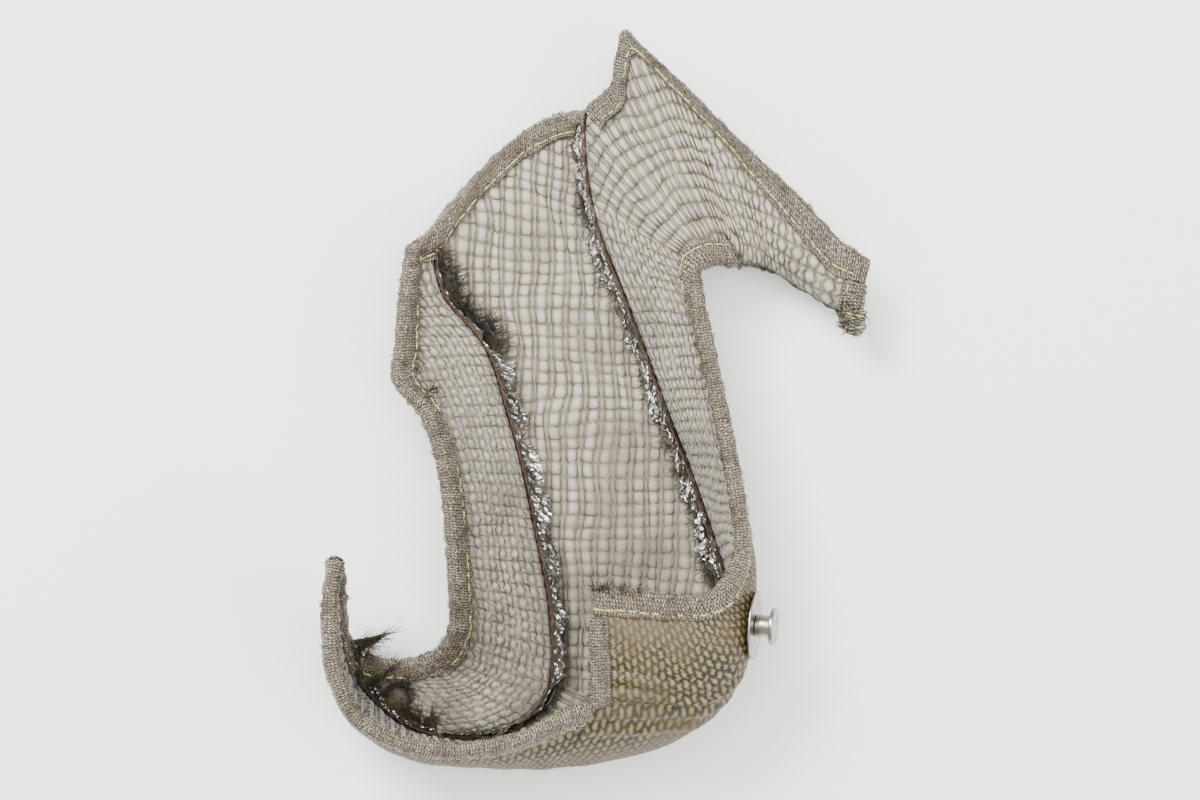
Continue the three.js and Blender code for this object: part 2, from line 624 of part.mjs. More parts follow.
const leftRimStations = sideStations(left, 0, 1, 0, lastRow(left));
const topEndStations = Object.assign(
  [
    ...endStations(left, 0, 1, between(1 + cornerGap, lastColumn(left))),
    ...endStations(band, 0, 1, between(0, lastColumn(band))),
  ],
  { innerFirst: true },
);
const flapEdgeStations = sideStations(right, 0, 1, 0, FLAP_ROWS.length - 1);
const flapEndStations = endStations(right, 0, 1, between(1 + cornerGap, lastColumn(right) - 1 - cornerGap));
const rightRimStations = sideStations(right, lastColumn(right), lastColumn(right) - 1, 0, lastRow(right));
const lidEndStations = endStations(
  right, lastRow(right), lastRow(right) - 1, between(0, lastColumn(right) - 1 - cornerGap),
);
const toeRimStations = sideStations(
  band, lastColumn(band), lastColumn(band) - 1, rowIndex("band", LID_END) + 1, lastRow(band),
);
const tabEdgeStations = sideStations(band, 0, 1, rowIndex("band", LEFT_PANEL_END) + 1, lastRow(band));
const tabTipStations = endStations(
  band, lastRow(band), lastRow(band) - 1, between(1 + cornerGap, lastColumn(band) - 1 - cornerGap),
);
const TAPES = {
  left_rim: leftRimStations,
  top_end: topEndStations,
  flap_edge: flapEdgeStations,
  flap_end: flapEndStations,
  right_rim: rightRimStations,
  lid_end: lidEndStations,
  toe_rim: toeRimStations,
  tab_edge: tabEdgeStations,
  tab_tip: tabTipStations,
};
for (const [name, stations] of Object.entries(TAPES)) {
  add(`${name}_binding`, bindingTape(stations), wireTape);
}
const INSIDE = 1;
const OUTSIDE = -1;
add("left_rim_topstitch", topstitch(leftRimStations, INSIDE), yellowThread);
add("top_end_topstitch", topstitch(topEndStations, INSIDE), yellowThread);
add("flap_edge_topstitch", topstitch(flapEdgeStations, INSIDE), yellowThread);
add("right_rim_inner_topstitch", topstitch(rightRimStations, INSIDE), yellowThread);
add("right_rim_outer_topstitch", topstitch(rightRimStations, OUTSIDE), yellowThread);
add("toe_rim_topstitch", topstitch(toeRimStations, INSIDE), yellowThread);

// Seams
const leftSeamRows = BAND_ROWS.filter((row) => row > SEAM_START && row < LEFT_SEAM_STOP);
const rightSeamRows = BAND_ROWS.filter((row) => row > SEAM_START && row < RIGHT_SEAM_STOP);
add("left_seam_foil", foilPly(leftSeamFrame, leftSeamRows), foil);
add("left_seam_allowance", clothPly(leftSeamFrame, leftSeamRows), basaltCloth);
add("left_seam_thread", seamThread(leftSeamFrame, leftSeamRows), redThread);
add("right_seam_foil", foilPly(rightSeamFrame, rightSeamRows), foil);
add("right_seam_allowance", clothPly(rightSeamFrame, rightSeamRows), basaltCloth);
add("right_seam_thread", seamThread(rightSeamFrame, rightSeamRows), redThread);

// The lacing anchor
const plateTop = PLATE_THICKNESS;
const headBottom = plateTop + POST_LENGTH;
add(
  "anchor_base_plate",
  ring(SHANK_CLEARANCE_RADIUS, PLATE_DIAMETER / 2, 0, plateTop),
  stainless,
  anchorPlace,
);
add(
  "anchor_post",
  turned([
    [0, WASHER_BOTTOM - CLEARANCE], [SHANK_DIAMETER / 2, WASHER_BOTTOM - CLEARANCE],
    [SHANK_DIAMETER / 2, plateTop + CLEARANCE], [POST_DIAMETER / 2, plateTop + CLEARANCE],
    [POST_DIAMETER / 2, headBottom - CLEARANCE], [0, headBottom - CLEARANCE],
  ]),
  stainless,
  anchorPlace,
);
add(
  "anchor_head",
  turned([
    [0, headBottom], [HEAD_DIAMETER / 2, headBottom], [HEAD_DIAMETER / 2, headBottom + HEAD_THICKNESS],
    [0.8 * (HEAD_DIAMETER / 2), headBottom + HEAD_THICKNESS], [0, headBottom + HEAD_THICKNESS - HEAD_DISH],
  ]),
  stainless,
  anchorPlace,
);
add(
  "anchor_backing_washer",
  ring(SHANK_CLEARANCE_RADIUS, WASHER_DIAMETER / 2, WASHER_BOTTOM, WASHER_TOP),
  stainless,
  anchorPlace,
);

// The origin is under the middle of the blanket's outline, on the table.
const outline = new THREE.Box3().setFromObject(blanket, true).getCenter(new THREE.Vector3());
blanket.position.set(-outline.x, -outline.y, 0);
const part = new THREE.Group().add(blanket);

export default part;
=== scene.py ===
"""A used turbo heat blanket, opened and lying on a table with its inside up.

A long band is sewn along its two long edges to two C-shaped side panels. Each panel is a quilt: woven
basalt cloth outside, white wool in the middle, knitted stainless wire inside. Knitted wire tape binds every
free edge, the seam allowances stand up inside, and one lacing anchor sits on the folded-over toe.
Everything is in metres, +Z up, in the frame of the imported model.
"""
from functools import partial

import bpy
import numpy as np
from bpy.props import FloatProperty, FloatVectorProperty, PointerProperty
from mathutils import Matrix, Vector


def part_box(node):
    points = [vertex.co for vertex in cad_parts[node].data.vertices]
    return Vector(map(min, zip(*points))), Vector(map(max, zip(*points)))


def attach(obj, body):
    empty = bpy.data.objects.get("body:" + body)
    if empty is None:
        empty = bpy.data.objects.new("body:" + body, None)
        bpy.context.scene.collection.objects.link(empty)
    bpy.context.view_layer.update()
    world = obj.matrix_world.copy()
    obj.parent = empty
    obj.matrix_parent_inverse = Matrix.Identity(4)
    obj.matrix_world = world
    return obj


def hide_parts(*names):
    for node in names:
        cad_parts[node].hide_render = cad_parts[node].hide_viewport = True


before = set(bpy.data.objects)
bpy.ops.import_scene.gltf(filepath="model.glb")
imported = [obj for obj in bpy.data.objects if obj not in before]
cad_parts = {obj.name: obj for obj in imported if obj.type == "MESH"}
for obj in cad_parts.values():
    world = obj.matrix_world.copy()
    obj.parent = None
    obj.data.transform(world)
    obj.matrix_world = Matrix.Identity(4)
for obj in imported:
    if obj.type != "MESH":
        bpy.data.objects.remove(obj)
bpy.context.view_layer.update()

bl_info = {
    "name": "Turbo heat blanket",
    "version": (1, 0, 0),
    "blender": (4, 5, 0),
    "location": "3D View > Sidebar > Blanket",
    "description": "Models a used turbo heat blanket around its packed frame",
    "category": "Object",
}

MM = 0.001

# The layers of the jacket, and its edges
CLOTH_THICKNESS = 1.1 * MM
HEM_THICKNESS = 3.4 * MM  # whole jacket, pressed flat at a hem or seam
PUFF_THICKNESS = 8.3 * MM  # whole jacket in the middle of a panel
PUFF_RUN = 15 * MM  # distance over which it swells to full thickness
CLEARANCE = 0.3 * MM
STATION_LENGTH = 25 * MM  # about, of the band
SMALL_STEP = 0.02  # in stations and shares of the width, over which a surface's directions are measured
TAPE_WIDTH = 10 * MM
TAPE_THICKNESS = 1.2 * MM
TOPSTITCH_INSET = 7.5 * MM
CLOTH_GAP = 0.05 * MM  # from each seam, where the two cloths turn in and meet
BATT_GAP = 0.8 * MM  # from each seam, for the plies between two batts
SEAM_BLEND = 9 * MM  # distance from a seam over which the two panels turn to one direction
ALLOWANCE_HEIGHT = 9 * MM

# Rails of the three panels: (station, x, y, z), with the stations counted from the band's top end.
LEFT_RIM = (
    (2.15, -0.077, 0.075, 0.032), (3, -0.080, 0.053, 0.035), (4, -0.082, 0.030, 0.038),
    (4.4, -0.083, 0.018, 0.040), (5, -0.071, 0.003, 0.041), (6, -0.063, -0.021, 0.042),
    (7, -0.060, -0.047, 0.040), (8, -0.059, -0.072, 0.035), (9, -0.059, -0.088, 0.028),
    (10, -0.062, -0.096, 0.022), (11, -0.065, -0.101, 0.018), (12, -0.070, -0.104, 0.015),
    (13, -0.077, -0.106, 0.013), (14, -0.085, -0.107, 0.012), (15, -0.095, -0.105, 0.013),
    (16, -0.102, -0.103, 0.015),
)
LEFT_SEAM = (
    (0, -0.072, 0.133, 0.030), (1, -0.070, 0.108, 0.027), (2, -0.069, 0.085, 0.025),
    (3, -0.065, 0.056, 0.020), (4, -0.046, 0.031, 0.013), (5, -0.037, 0.004, 0.010),
    (6, -0.030, -0.022, 0.009), (7, -0.024, -0.051, 0.008), (8, -0.019, -0.077, 0.007),
    (9, -0.017, -0.097, 0.007), (10, -0.017, -0.109, 0.007), (11, -0.018, -0.119, 0.007),
    (12, -0.024, -0.128, 0.007), (13, -0.035, -0.136, 0.007), (14, -0.056, -0.141, 0.007),
    (15, -0.081, -0.136, 0.008), (16, -0.101, -0.118, 0.010), (17, -0.106, -0.101, 0.016),
    (18, -0.108, -0.087, 0.024), (19, -0.108, -0.074, 0.034), (20, -0.108, -0.063, 0.046),
)
BAND_MIDDLE = (
    (0, -0.037, 0.135, 0.009), (1, -0.036, 0.110, 0.005), (2, -0.033, 0.085, 0.002),
    (3, -0.026, 0.057, 0.001), (4, -0.012, 0.031, 0.001), (5, -0.002, 0.005, 0.001),
    (6, 0.007, -0.022, 0.001), (7, 0.015, -0.053, 0.001), (8, 0.021, -0.079, 0.001),
    (9, 0.026, -0.103, 0.004), (10, 0.027, -0.124, 0.012), (11, 0.022, -0.138, 0.021),
    (12, 0.006, -0.144, 0.030), (13, -0.016, -0.146, 0.036), (14, -0.045, -0.146, 0.038),
    (15, -0.077, -0.142, 0.038), (16, -0.100, -0.127, 0.039), (17, -0.109, -0.108, 0.042),
    (18, -0.111, -0.091, 0.048), (19, -0.110, -0.074, 0.055), (20, -0.108, -0.060, 0.062),
)
RIGHT_SEAM = (
    (-7, 0.120, 0.068, 0.028), (-6, 0.107, 0.077, 0.032), (-5, 0.091, 0.094, 0.036),
    (-4, 0.069, 0.115, 0.038), (-3, 0.043, 0.141, 0.038), (-2.4, 0.024, 0.159, 0.038),
    (-2, 0.015, 0.167, 0.038), (-1.6, 0.012, 0.156, 0.036), (-1, 0.010, 0.144, 0.032),
    (0, -0.001, 0.133, 0.024), (1, -0.001, 0.109, 0.018), (2, 0.004, 0.084, 0.014),
    (3, 0.014, 0.058, 0.012), (4, 0.024, 0.032, 0.011), (5, 0.034, 0.005, 0.011),
    (6, 0.045, -0.023, 0.013), (7, 0.055, -0.052, 0.019), (8, 0.062, -0.076, 0.028),
    (9, 0.065, -0.095, 0.040), (10, 0.062, -0.112, 0.054), (11, 0.049, -0.120, 0.063),
    (12, 0.027, -0.119, 0.070), (13, 0.001, -0.119, 0.074), (14, -0.034, -0.135, 0.073),
    (15, -0.069, -0.138, 0.072), (16, -0.096, -0.127, 0.071), (17, -0.106, -0.110, 0.072),
    (18, -0.109, -0.093, 0.073), (19, -0.109, -0.075, 0.075), (20, -0.106, -0.058, 0.077),
)
RIGHT_RIM = (
    (-7, 0.117, 0.039, 0.021), (-6, 0.105, 0.048, 0.017), (-5, 0.091, 0.057, 0.016),
    (-4, 0.078, 0.064, 0.021), (-3, 0.067, 0.067, 0.033), (-2, 0.059, 0.068, 0.038),
    (-1, 0.054, 0.068, 0.041), (0, 0.050, 0.067, 0.044), (1, 0.047, 0.066, 0.045),
    (2, 0.045, 0.063, 0.046), (3, 0.046, 0.054, 0.048), (4, 0.050, 0.032, 0.051),
    (5, 0.056, 0.004, 0.055), (6, 0.061, -0.023, 0.060), (7, 0.064, -0.048, 0.067),
    (8, 0.062, -0.060, 0.072), (9, 0.055, -0.070, 0.077), (10, 0.047, -0.074, 0.079),
    (11, 0.036, -0.074, 0.080), (12, 0.021, -0.073, 0.081), (13, 0.001, -0.071, 0.082),
)
# How far a panel bulges outwards at its middle: (station, bulge). The flap rolls the other way.
LEFT_BULGE = ((2.15, 0.001), (4, 0.004), (13, 0.004), (16, 0.001))
RIGHT_BULGE = (
    (-7, -0.005), (-5.5, -0.007), (-4, -0.005), (-2.5, 0), (-1, 0.003), (2, 0.005), (13, 0.005),
)
RAIL_SHIFT = (-0.003124, -0.009017, 0)  # from the rails' own origin to under the middle of the outline

LEFT_PANEL_END = 16
LID_END = 13
FLAP_END = -7
TAB_END = 20
ROLL_ROWS = (-6.95, -2.3)  # stations between which the flap's lower edge rolls under
ROLL_LENGTH = 17 * MM
ROLL_TURN = 2.9  # radians, nearly back on itself
TOP_SLANT = 2.15  # the top end is cut aslant: the left edge starts this much later
SLANT_RUN = 4  # and the rows are square to the band from here on


def curve(knots):
    """A smooth curve through knots (station, value, ...), as a function that gives the values."""
    knots = np.array(knots, float)
    stations, values = knots[:, 0], knots[:, 1:]
    places = np.arange(len(knots))
    before, after = np.maximum(places - 1, 0), np.minimum(places + 1, len(knots) - 1)
    slopes = (values[after] - values[before]) / (stations[after] - stations[before])[:, None]

    def at(station):
        station = np.clip(station, stations[0], stations[-1])
        i = np.clip(np.searchsorted(stations, station, side="right") - 1, 0, len(stations) - 2)
        span = (stations[i + 1] - stations[i])[..., None]
        u = (station - stations[i])[..., None] / span
        rise = values[i + 1] - values[i]
        start_slope = slopes[i] * span - rise
        end_slope = rise - slopes[i + 1] * span
        return values[i] + rise * u + u * (1 - u) * (start_slope * (1 - u) + end_slope * u)

    return at


def rail(knots):
    through = curve(knots)
    return lambda station: through(station) + RAIL_SHIFT


left_rim, left_seam, band_middle = rail(LEFT_RIM), rail(LEFT_SEAM), rail(BAND_MIDDLE)
right_seam, right_rim = rail(RIGHT_SEAM), rail(RIGHT_RIM)
left_bulge, right_bulge = curve(LEFT_BULGE), curve(RIGHT_BULGE)


def unit(vectors):
    return vectors / np.linalg.norm(vectors, axis=-1, keepdims=True)


def distance(a, b):
    return np.linalg.norm(a - b, axis=-1)


def run_along(points):
    """How far along a line of points each one lies."""
    return np.concatenate([[0], np.cumsum(distance(points[1:], points[:-1]))])


def resampled(places, known, values):
    """Rows of values that are known at some places along a line, at other places along it."""
    return np.stack([np.interp(places, known, column) for column in values.T], axis=-1)


def across(a, m, b, t):
    """The parabola from a over m to b."""
    t = t[..., None]
    return a * ((1 - t) * (1 - 2 * t)) + m * (4 * t * (1 - t)) + b * (t * (2 * t - 1))


def station_of(row, t):
    """Station of a row of the band at share t of its width: the rows start along the slanted top end."""
    left = np.clip(row / SLANT_RUN, 0, 1)
    slant = TOP_SLANT * (1 - t) ** 1.8 * (1 - left**2) ** 2
    return np.where(row < 0, row, row + slant)


def band_point(row, t):
    station = station_of(row, t)
    point = across(left_seam(station), band_middle(station), right_seam(station), t)
    point[..., 2] = np.maximum(point[..., 2], PUFF_THICKNESS / 2)
    return point


def panel_point(start, end, bulge, station, t):
    """A side panel between two rails, bulging outwards."""
    step = 0.05
    a, b = start(station), end(station)
    along = start(station + step) + end(station + step) - start(station - step) - end(station - step)
    inward = unit(np.cross(along, b - a))
    return across(a, (a + b) / 2 - inward * bulge(station), b, t)


def left_point(row, t):
    return panel_point(left_rim, left_seam, left_bulge, station_of(row, np.zeros_like(t)), t)


def rolled_point(row, t):
    """A point of the flap where its lower edge rolls under."""
    turn = ROLL_TURN * smooth((row - ROLL_ROWS[0]) / 1.1) * smooth((ROLL_ROWS[1] - row) / 0.9) + 0.001
    bend = turn / ROLL_LENGTH
    reach = np.sin(np.minimum(turn, np.pi / 2)) / bend
    width = distance(right_seam(row), right_rim(row))
    flat_width = width * np.clip(1 - reach / width, 0.05, 1)
    along = t * (flat_width + ROLL_LENGTH)
    share = np.minimum(along, flat_width) / width
    base = panel_point(right_seam, right_rim, right_bulge, row, share)
    step = 0.05
    rows_on = right_seam(row + step) + right_rim(row + step) - right_seam(row - step) - right_rim(row - step)
    heading = unit(base - panel_point(right_seam, right_rim, right_bulge, row, share - 0.03))
    inward = unit(np.cross(rows_on, heading))
    angle = (bend * np.maximum(along - flat_width, 0))[..., None]
    return base + (heading * np.sin(angle) - inward * (1 - np.cos(angle))) / bend[..., None]


def right_point(row, t):
    """The right panel. The lower edge of its flap rolls under, so that its rim is hidden from above."""
    row, t = np.broadcast_arrays(row, t)
    point = panel_point(right_seam, right_rim, right_bulge, row, t)
    rolls = (row > ROLL_ROWS[0]) & (row < ROLL_ROWS[1])
    if rolls.any():
        point[rolls] = rolled_point(row[rolls], t[rolls])
    return point


def inward_normal(point, row, t):
    """The unit normal of a surface towards the inside of the jacket."""
    low, high = np.clip(t - SMALL_STEP, 0, 1), np.clip(t + SMALL_STEP, 0, 1)
    along = point(row + SMALL_STEP, t) - point(row - SMALL_STEP, t)
    return unit(np.cross(along, point(row, high) - point(row, low)))


def smooth(x):
    x = np.clip(x, 0, 1)
    return x * x * (3 - 2 * x)


class Sheet:
    """One panel of the jacket: its mid-surface, its rows, its hems and what it is sewn to on each side."""

    def __init__(self, point, rows, hems, neighbours):
        self.point, self.rows, self.hems, self.neighbours = point, rows, hems, neighbours

    def width(self, row):
        middle = self.point(row, np.full_like(row, 0.5))
        return distance(middle, self.point(row, np.zeros_like(row))) + distance(
            middle, self.point(row, np.ones_like(row))
        )

    def sewn(self, side, row):
        if not self.neighbours[side]:
            return np.zeros(row.shape, bool)
        first, last = self.neighbours[side][1]
        return (row >= first) & (row <= last)

    def normal(self, row, t):
        """The normal, turned near a seam to what it is for both panels there."""
        own = inward_normal(self.point, row, t)
        width = self.width(row)
        for side in (0, 1):
            if self.neighbours[side]:
                other = inward_normal(self.neighbours[side][0], row, np.full_like(t, 1 - side))
                edge = inward_normal(self.point, row, np.full_like(t, side))
                share = smooth(1 - np.abs(t - side) * width / SEAM_BLEND) * self.sewn(side, row)
                own = unit(own + share[..., None] * (unit(edge + other) - own))
        return own

    def thickness(self, row, t):
        width = self.width(row)
        distances = [
            np.where(self.sewn(side, row), away, away - TAPE_WIDTH)
            for side, away in ((0, t * width), (1, (1 - t) * width))
        ]
        middle = self.point(row, np.full_like(row, 0.5))
        for hem, end in zip(self.hems, self.rows):
            if hem:
                end_middle = self.point(np.full_like(row, end), np.full_like(row, 0.5))
                distances.append(distance(middle, end_middle) - TAPE_WIDTH)
        nearest = np.clip(np.minimum.reduce(distances) / PUFF_RUN, 0, 1)
        return HEM_THICKNESS + (PUFF_THICKNESS - HEM_THICKNESS) * np.sin(nearest * np.pi / 2)

    def face(self, row, t, side, depth=0.0):
        """Points at a depth under the inside face (side 1) or under the outside face (side -1)."""
        height = side * (self.thickness(row, t) / 2 - depth)
        return self.point(row, t) + self.normal(row, t) * height[..., None]

    def grid(self, spacing, multiple=1, rows=None):
        """Rows and shares of a grid with about this spacing, its numbers of cells multiples of one."""
        first, last = rows or self.rows
        sample = np.linspace(first, last, 200)
        steps = [
            distance(self.point(sample[1:], share), self.point(sample[:-1], share))
            for share in (np.full(199, 0.0), np.full(199, 0.5), np.full(199, 1.0))
        ]
        lengths = np.concatenate([[0], np.cumsum(np.max(steps, axis=0))])
        count = multiple * max(2, round(lengths[-1] / spacing / multiple))
        row = np.interp(np.linspace(0, lengths[-1], count + 1), lengths, sample)
        columns = multiple * max(2, round(self.width(sample).max() / spacing / multiple))
        return np.meshgrid(row, np.linspace(0, 1, columns + 1), indexing="ij")

    def gapped(self, row, t, gap):
        """Shares that leave a gap at each seam."""
        gap = gap / self.width(row)
        low, high = gap * self.sewn(0, row), 1 - gap * self.sewn(1, row)
        return low + (high - low) * t


band = Sheet(
    band_point, (0, TAB_END), (True, True), ((left_point, (0, LEFT_PANEL_END)), (right_point, (0, LID_END)))
)
left_panel = Sheet(left_point, (0, LEFT_PANEL_END), (True, False), (None, (band_point, (0, LEFT_PANEL_END))))
right_panel = Sheet(right_point, (FLAP_END, LID_END), (True, True), ((band_point, (0, LID_END)), None))
SHEETS = {"band": band, "left_panel": left_panel, "right_panel": right_panel}


def add_object(name, vertices, faces, material, uv=None, attributes=None, smooth_shaded=True):
    """A mesh object at the origin, with a UV map in metres and numbers per point if it has them."""
    mesh = bpy.data.meshes.new(name)
    mesh.from_pydata(np.asarray(vertices).tolist(), [], faces)
    mesh.validate()
    if uv is not None:
        corners = np.empty(len(mesh.loops), np.int32)
        mesh.loops.foreach_get("vertex_index", corners)
        mesh.uv_layers.new(name="UVMap").data.foreach_set("uv", np.asarray(uv)[corners].ravel())
    for key, values in (attributes or {}).items():
        layer = mesh.attributes.new(key, "FLOAT", "POINT")
        layer.data.foreach_set("value", np.asarray(values, np.float32).ravel())
    mesh.polygons.foreach_set("use_smooth", [smooth_shaded] * len(mesh.polygons))
    mesh.materials.append(material)
    piece = bpy.data.objects.new(name, mesh)
    bpy.context.collection.objects.link(piece)
    return piece


def settle(piece, node=None):
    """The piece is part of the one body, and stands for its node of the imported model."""
    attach(piece, "root")
    if node:
        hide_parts(node)


def quads(indices, flip=False):
    """Faces between the rows and columns of an array of vertex indices."""
    a, b, c, d = indices[:-1, :-1], indices[1:, :-1], indices[1:, 1:], indices[:-1, 1:]
    corners = (a, d, c, b) if flip else (a, b, c, d)
    return np.stack(corners, axis=-1).reshape(-1, 4).tolist()


def slab(top, bottom, coarser=1):
    """A closed slab between two grids of points. The bottom keeps every so-many-th of its points."""
    rows, columns = top.shape[:2]
    bottom = bottom[::coarser, ::coarser]
    upper = np.arange(rows * columns).reshape(rows, columns)
    lower = rows * columns + np.arange(bottom[..., 0].size).reshape(bottom.shape[:2])
    faces = quads(upper) + quads(lower, flip=True)
    for fine, coarse, flip in (
        (upper[0], lower[0], False), (upper[-1], lower[-1], True),
        (upper[:, 0], lower[:, 0], True), (upper[:, -1], lower[:, -1], False),
    ):
        for k in range(len(coarse) - 1):
            run = fine[k * coarser : (k + 1) * coarser + 1].tolist()
            face = run + [int(coarse[k + 1]), int(coarse[k])]
            faces.append(face[::-1] if flip else face)
    return np.concatenate([top.reshape(-1, 3), bottom.reshape(-1, 3)]), faces


def on_upper_side(vertices, values):
    """Values for the upper points of a slab, and zeros for its other points."""
    return np.concatenate([values, np.zeros((len(vertices) - len(values), *values.shape[1:]))])


def tube(path, normals, radius, sides):
    """A closed tube along a path. The normals keep its sides from turning."""
    tangent = unit(np.gradient(path, axis=0))
    side = unit(np.cross(tangent, normals))
    up = np.cross(side, tangent)
    angles = np.arange(sides) * 2 * np.pi / sides
    radius = np.broadcast_to(radius, len(path))[:, None, None]
    ring = np.cos(angles)[None, :, None] * side[:, None] + np.sin(angles)[None, :, None] * up[:, None]
    vertices = (path[:, None] + radius * ring).reshape(-1, 3)
    indices = np.arange(len(path) * sides).reshape(len(path), sides)
    around = np.concatenate([indices, indices[:, :1]], axis=1)
    faces = quads(around)
    faces.append(indices[0].tolist())
    faces.append(indices[-1][::-1].tolist())
    return vertices, faces


def joined(parts):
    """One list of vertices and faces out of many, and which part each vertex comes from."""
    vertices, faces, sources = [], [], []
    first = 0
    for number, (points, polygons) in enumerate(parts):
        vertices.append(points)
        faces += [[first + corner for corner in polygon] for polygon in polygons]
        sources.append(np.full(len(points), number))
        first += len(points)
    return np.concatenate(vertices), faces, np.concatenate(sources)


def wander(u, v, seed, scale=1.0):
    """Smooth unevenness between about -1 and 1, out of a few crossed waves."""
    draw = np.random.default_rng(seed)
    total = 0
    for _ in range(5):
        direction, phase = draw.uniform(0, 2 * np.pi), draw.uniform(0, 2 * np.pi)
        length = scale * draw.uniform(0.7, 1.8)
        along = u * np.cos(direction) + v * np.sin(direction)
        total = total + np.sin(2 * np.pi * along / length + phase)
    return total / 2.6


# Knitting

# Left halves of one stitch of the knitted wire: (wales across, courses along, height in wire diameters). It
# rises from the sinker wire on its left, over the stitch below, and goes behind the stitch above.
LADDER_HALF = (
    (-0.5, 0.0, 0.3), (-0.33, -0.02, 0.5), (-0.2, 0.06, 1.1), (-0.14, 0.27, 1.2), (-0.16, 0.6, 0.6),
    (-0.22, 0.93, -0.3), (-0.15, 1.13, -0.5),
)
HONEYCOMB_HALF = (
    (-0.5, -0.02, 0.3), (-0.36, 0.0, 0.5), (-0.2, 0.1, 1.1), (-0.22, 0.32, 1.1), (-0.33, 0.6, 0.6),
    (-0.27, 0.92, -0.3), (-0.15, 1.08, -0.5),
)
LONG_LEG_HALF = (
    (-0.5, 0.0, 0.8), (-0.38, -0.04, 1.2), (-0.22, -0.02, 1.5), (-0.12, 0.14, 1.2), (-0.15, 0.5, 0.4),
    (-0.24, 0.94, -0.3), (-0.18, 1.07, -0.2),
)


def whole_stitch(half, top):
    mirrored = [(-u, v, h) for u, v, h in half[:0:-1]]
    return np.array([*half, (0.0, top, half[-1][2]), *mirrored])


LADDER = whole_stitch(LADDER_HALF, 1.19)
HONEYCOMB = whole_stitch(HONEYCOMB_HALF, 1.13)
LONG_LEG = whole_stitch(LONG_LEG_HALF, 1.1)


class Knit:
    """A patch of knitting on a sheet: where a stitch lies, and which stitch a place belongs to."""

    def __init__(self, sheet, rows, wale, course, seed, stitch):
        self.sheet, self.rows, self.wale, self.course, self.seed = sheet, rows, wale, course, seed
        self.stitch = stitch

    def warp(self, u, v):
        """Where the knitting has been pulled out of true, in stitches."""
        du = 0.22 * wander(u, v, self.seed, 9) + 0.07 * wander(u, v, self.seed + 2, 2.6)
        dv = 0.24 * wander(u, v, self.seed + 1, 7) + 0.07 * wander(u, v, self.seed + 3, 2.6)
        return du, dv

    def pillow(self, u, v):
        """Height of the wool in the windows of the knitting, from 0 at a wire to 1."""
        du, dv = self.warp(u, v)
        u, v = u - du, v - dv
        away = np.abs(u - np.round(u))
        leg = 0.16 if self.stitch is not HONEYCOMB else 0.24 - 0.1 * np.cos(2 * np.pi * v)
        return smooth(np.abs(away - leg) / 0.2) ** 0.8 * np.abs(np.sin(np.pi * v)) ** 0.5


class SeamKnit(Knit):
    """Wales that follow a seam (turned False) or courses that follow it (turned True)."""

    def __init__(self, sheet, rows, wale, course, seed, stitch, side=0, turned=False):
        super().__init__(sheet, rows, wale, course, seed, stitch)
        self.side, self.turned = side, turned
        self.row_table = np.linspace(sheet.rows[0], sheet.rows[1], 400)
        line = sheet.point(self.row_table, np.full(400, 0.5))
        self.run_table = run_along(line)

    def cell_of(self, row, t):
        run = np.interp(row, self.row_table, self.run_table)
        away = np.abs(t - self.side) * self.sheet.width(row)
        return (run / self.wale, away / self.course) if self.turned else (away / self.wale, run / self.course)

    def place_of(self, u, v):
        du, dv = self.warp(u, v)
        u, v = u + du, v + dv
        run, away = (u * self.wale, v * self.course) if self.turned else (v * self.course, u * self.wale)
        row = np.interp(run, self.run_table, self.row_table)
        share = away / self.sheet.width(row)
        inside = (away > 0) & (share < 1) & (run > 0) & (run < self.run_table[-1])
        return row, np.clip(np.abs(self.side - share), 0, 1), inside

    def stitches(self):
        run = np.interp(self.rows, self.row_table, self.run_table)
        widest = self.sheet.width(np.linspace(*self.rows, 50)).max()
        if self.turned:
            return (run[0] / self.wale, run[1] / self.wale), (0, widest / self.course)
        return (0, widest / self.wale), (run[0] / self.course, run[1] / self.course)


DROOP = 0.25  # slope of the drooping courses
DROOP_X, DROOP_Y, DROOP_RUN = -0.03, 0.045, 0.06


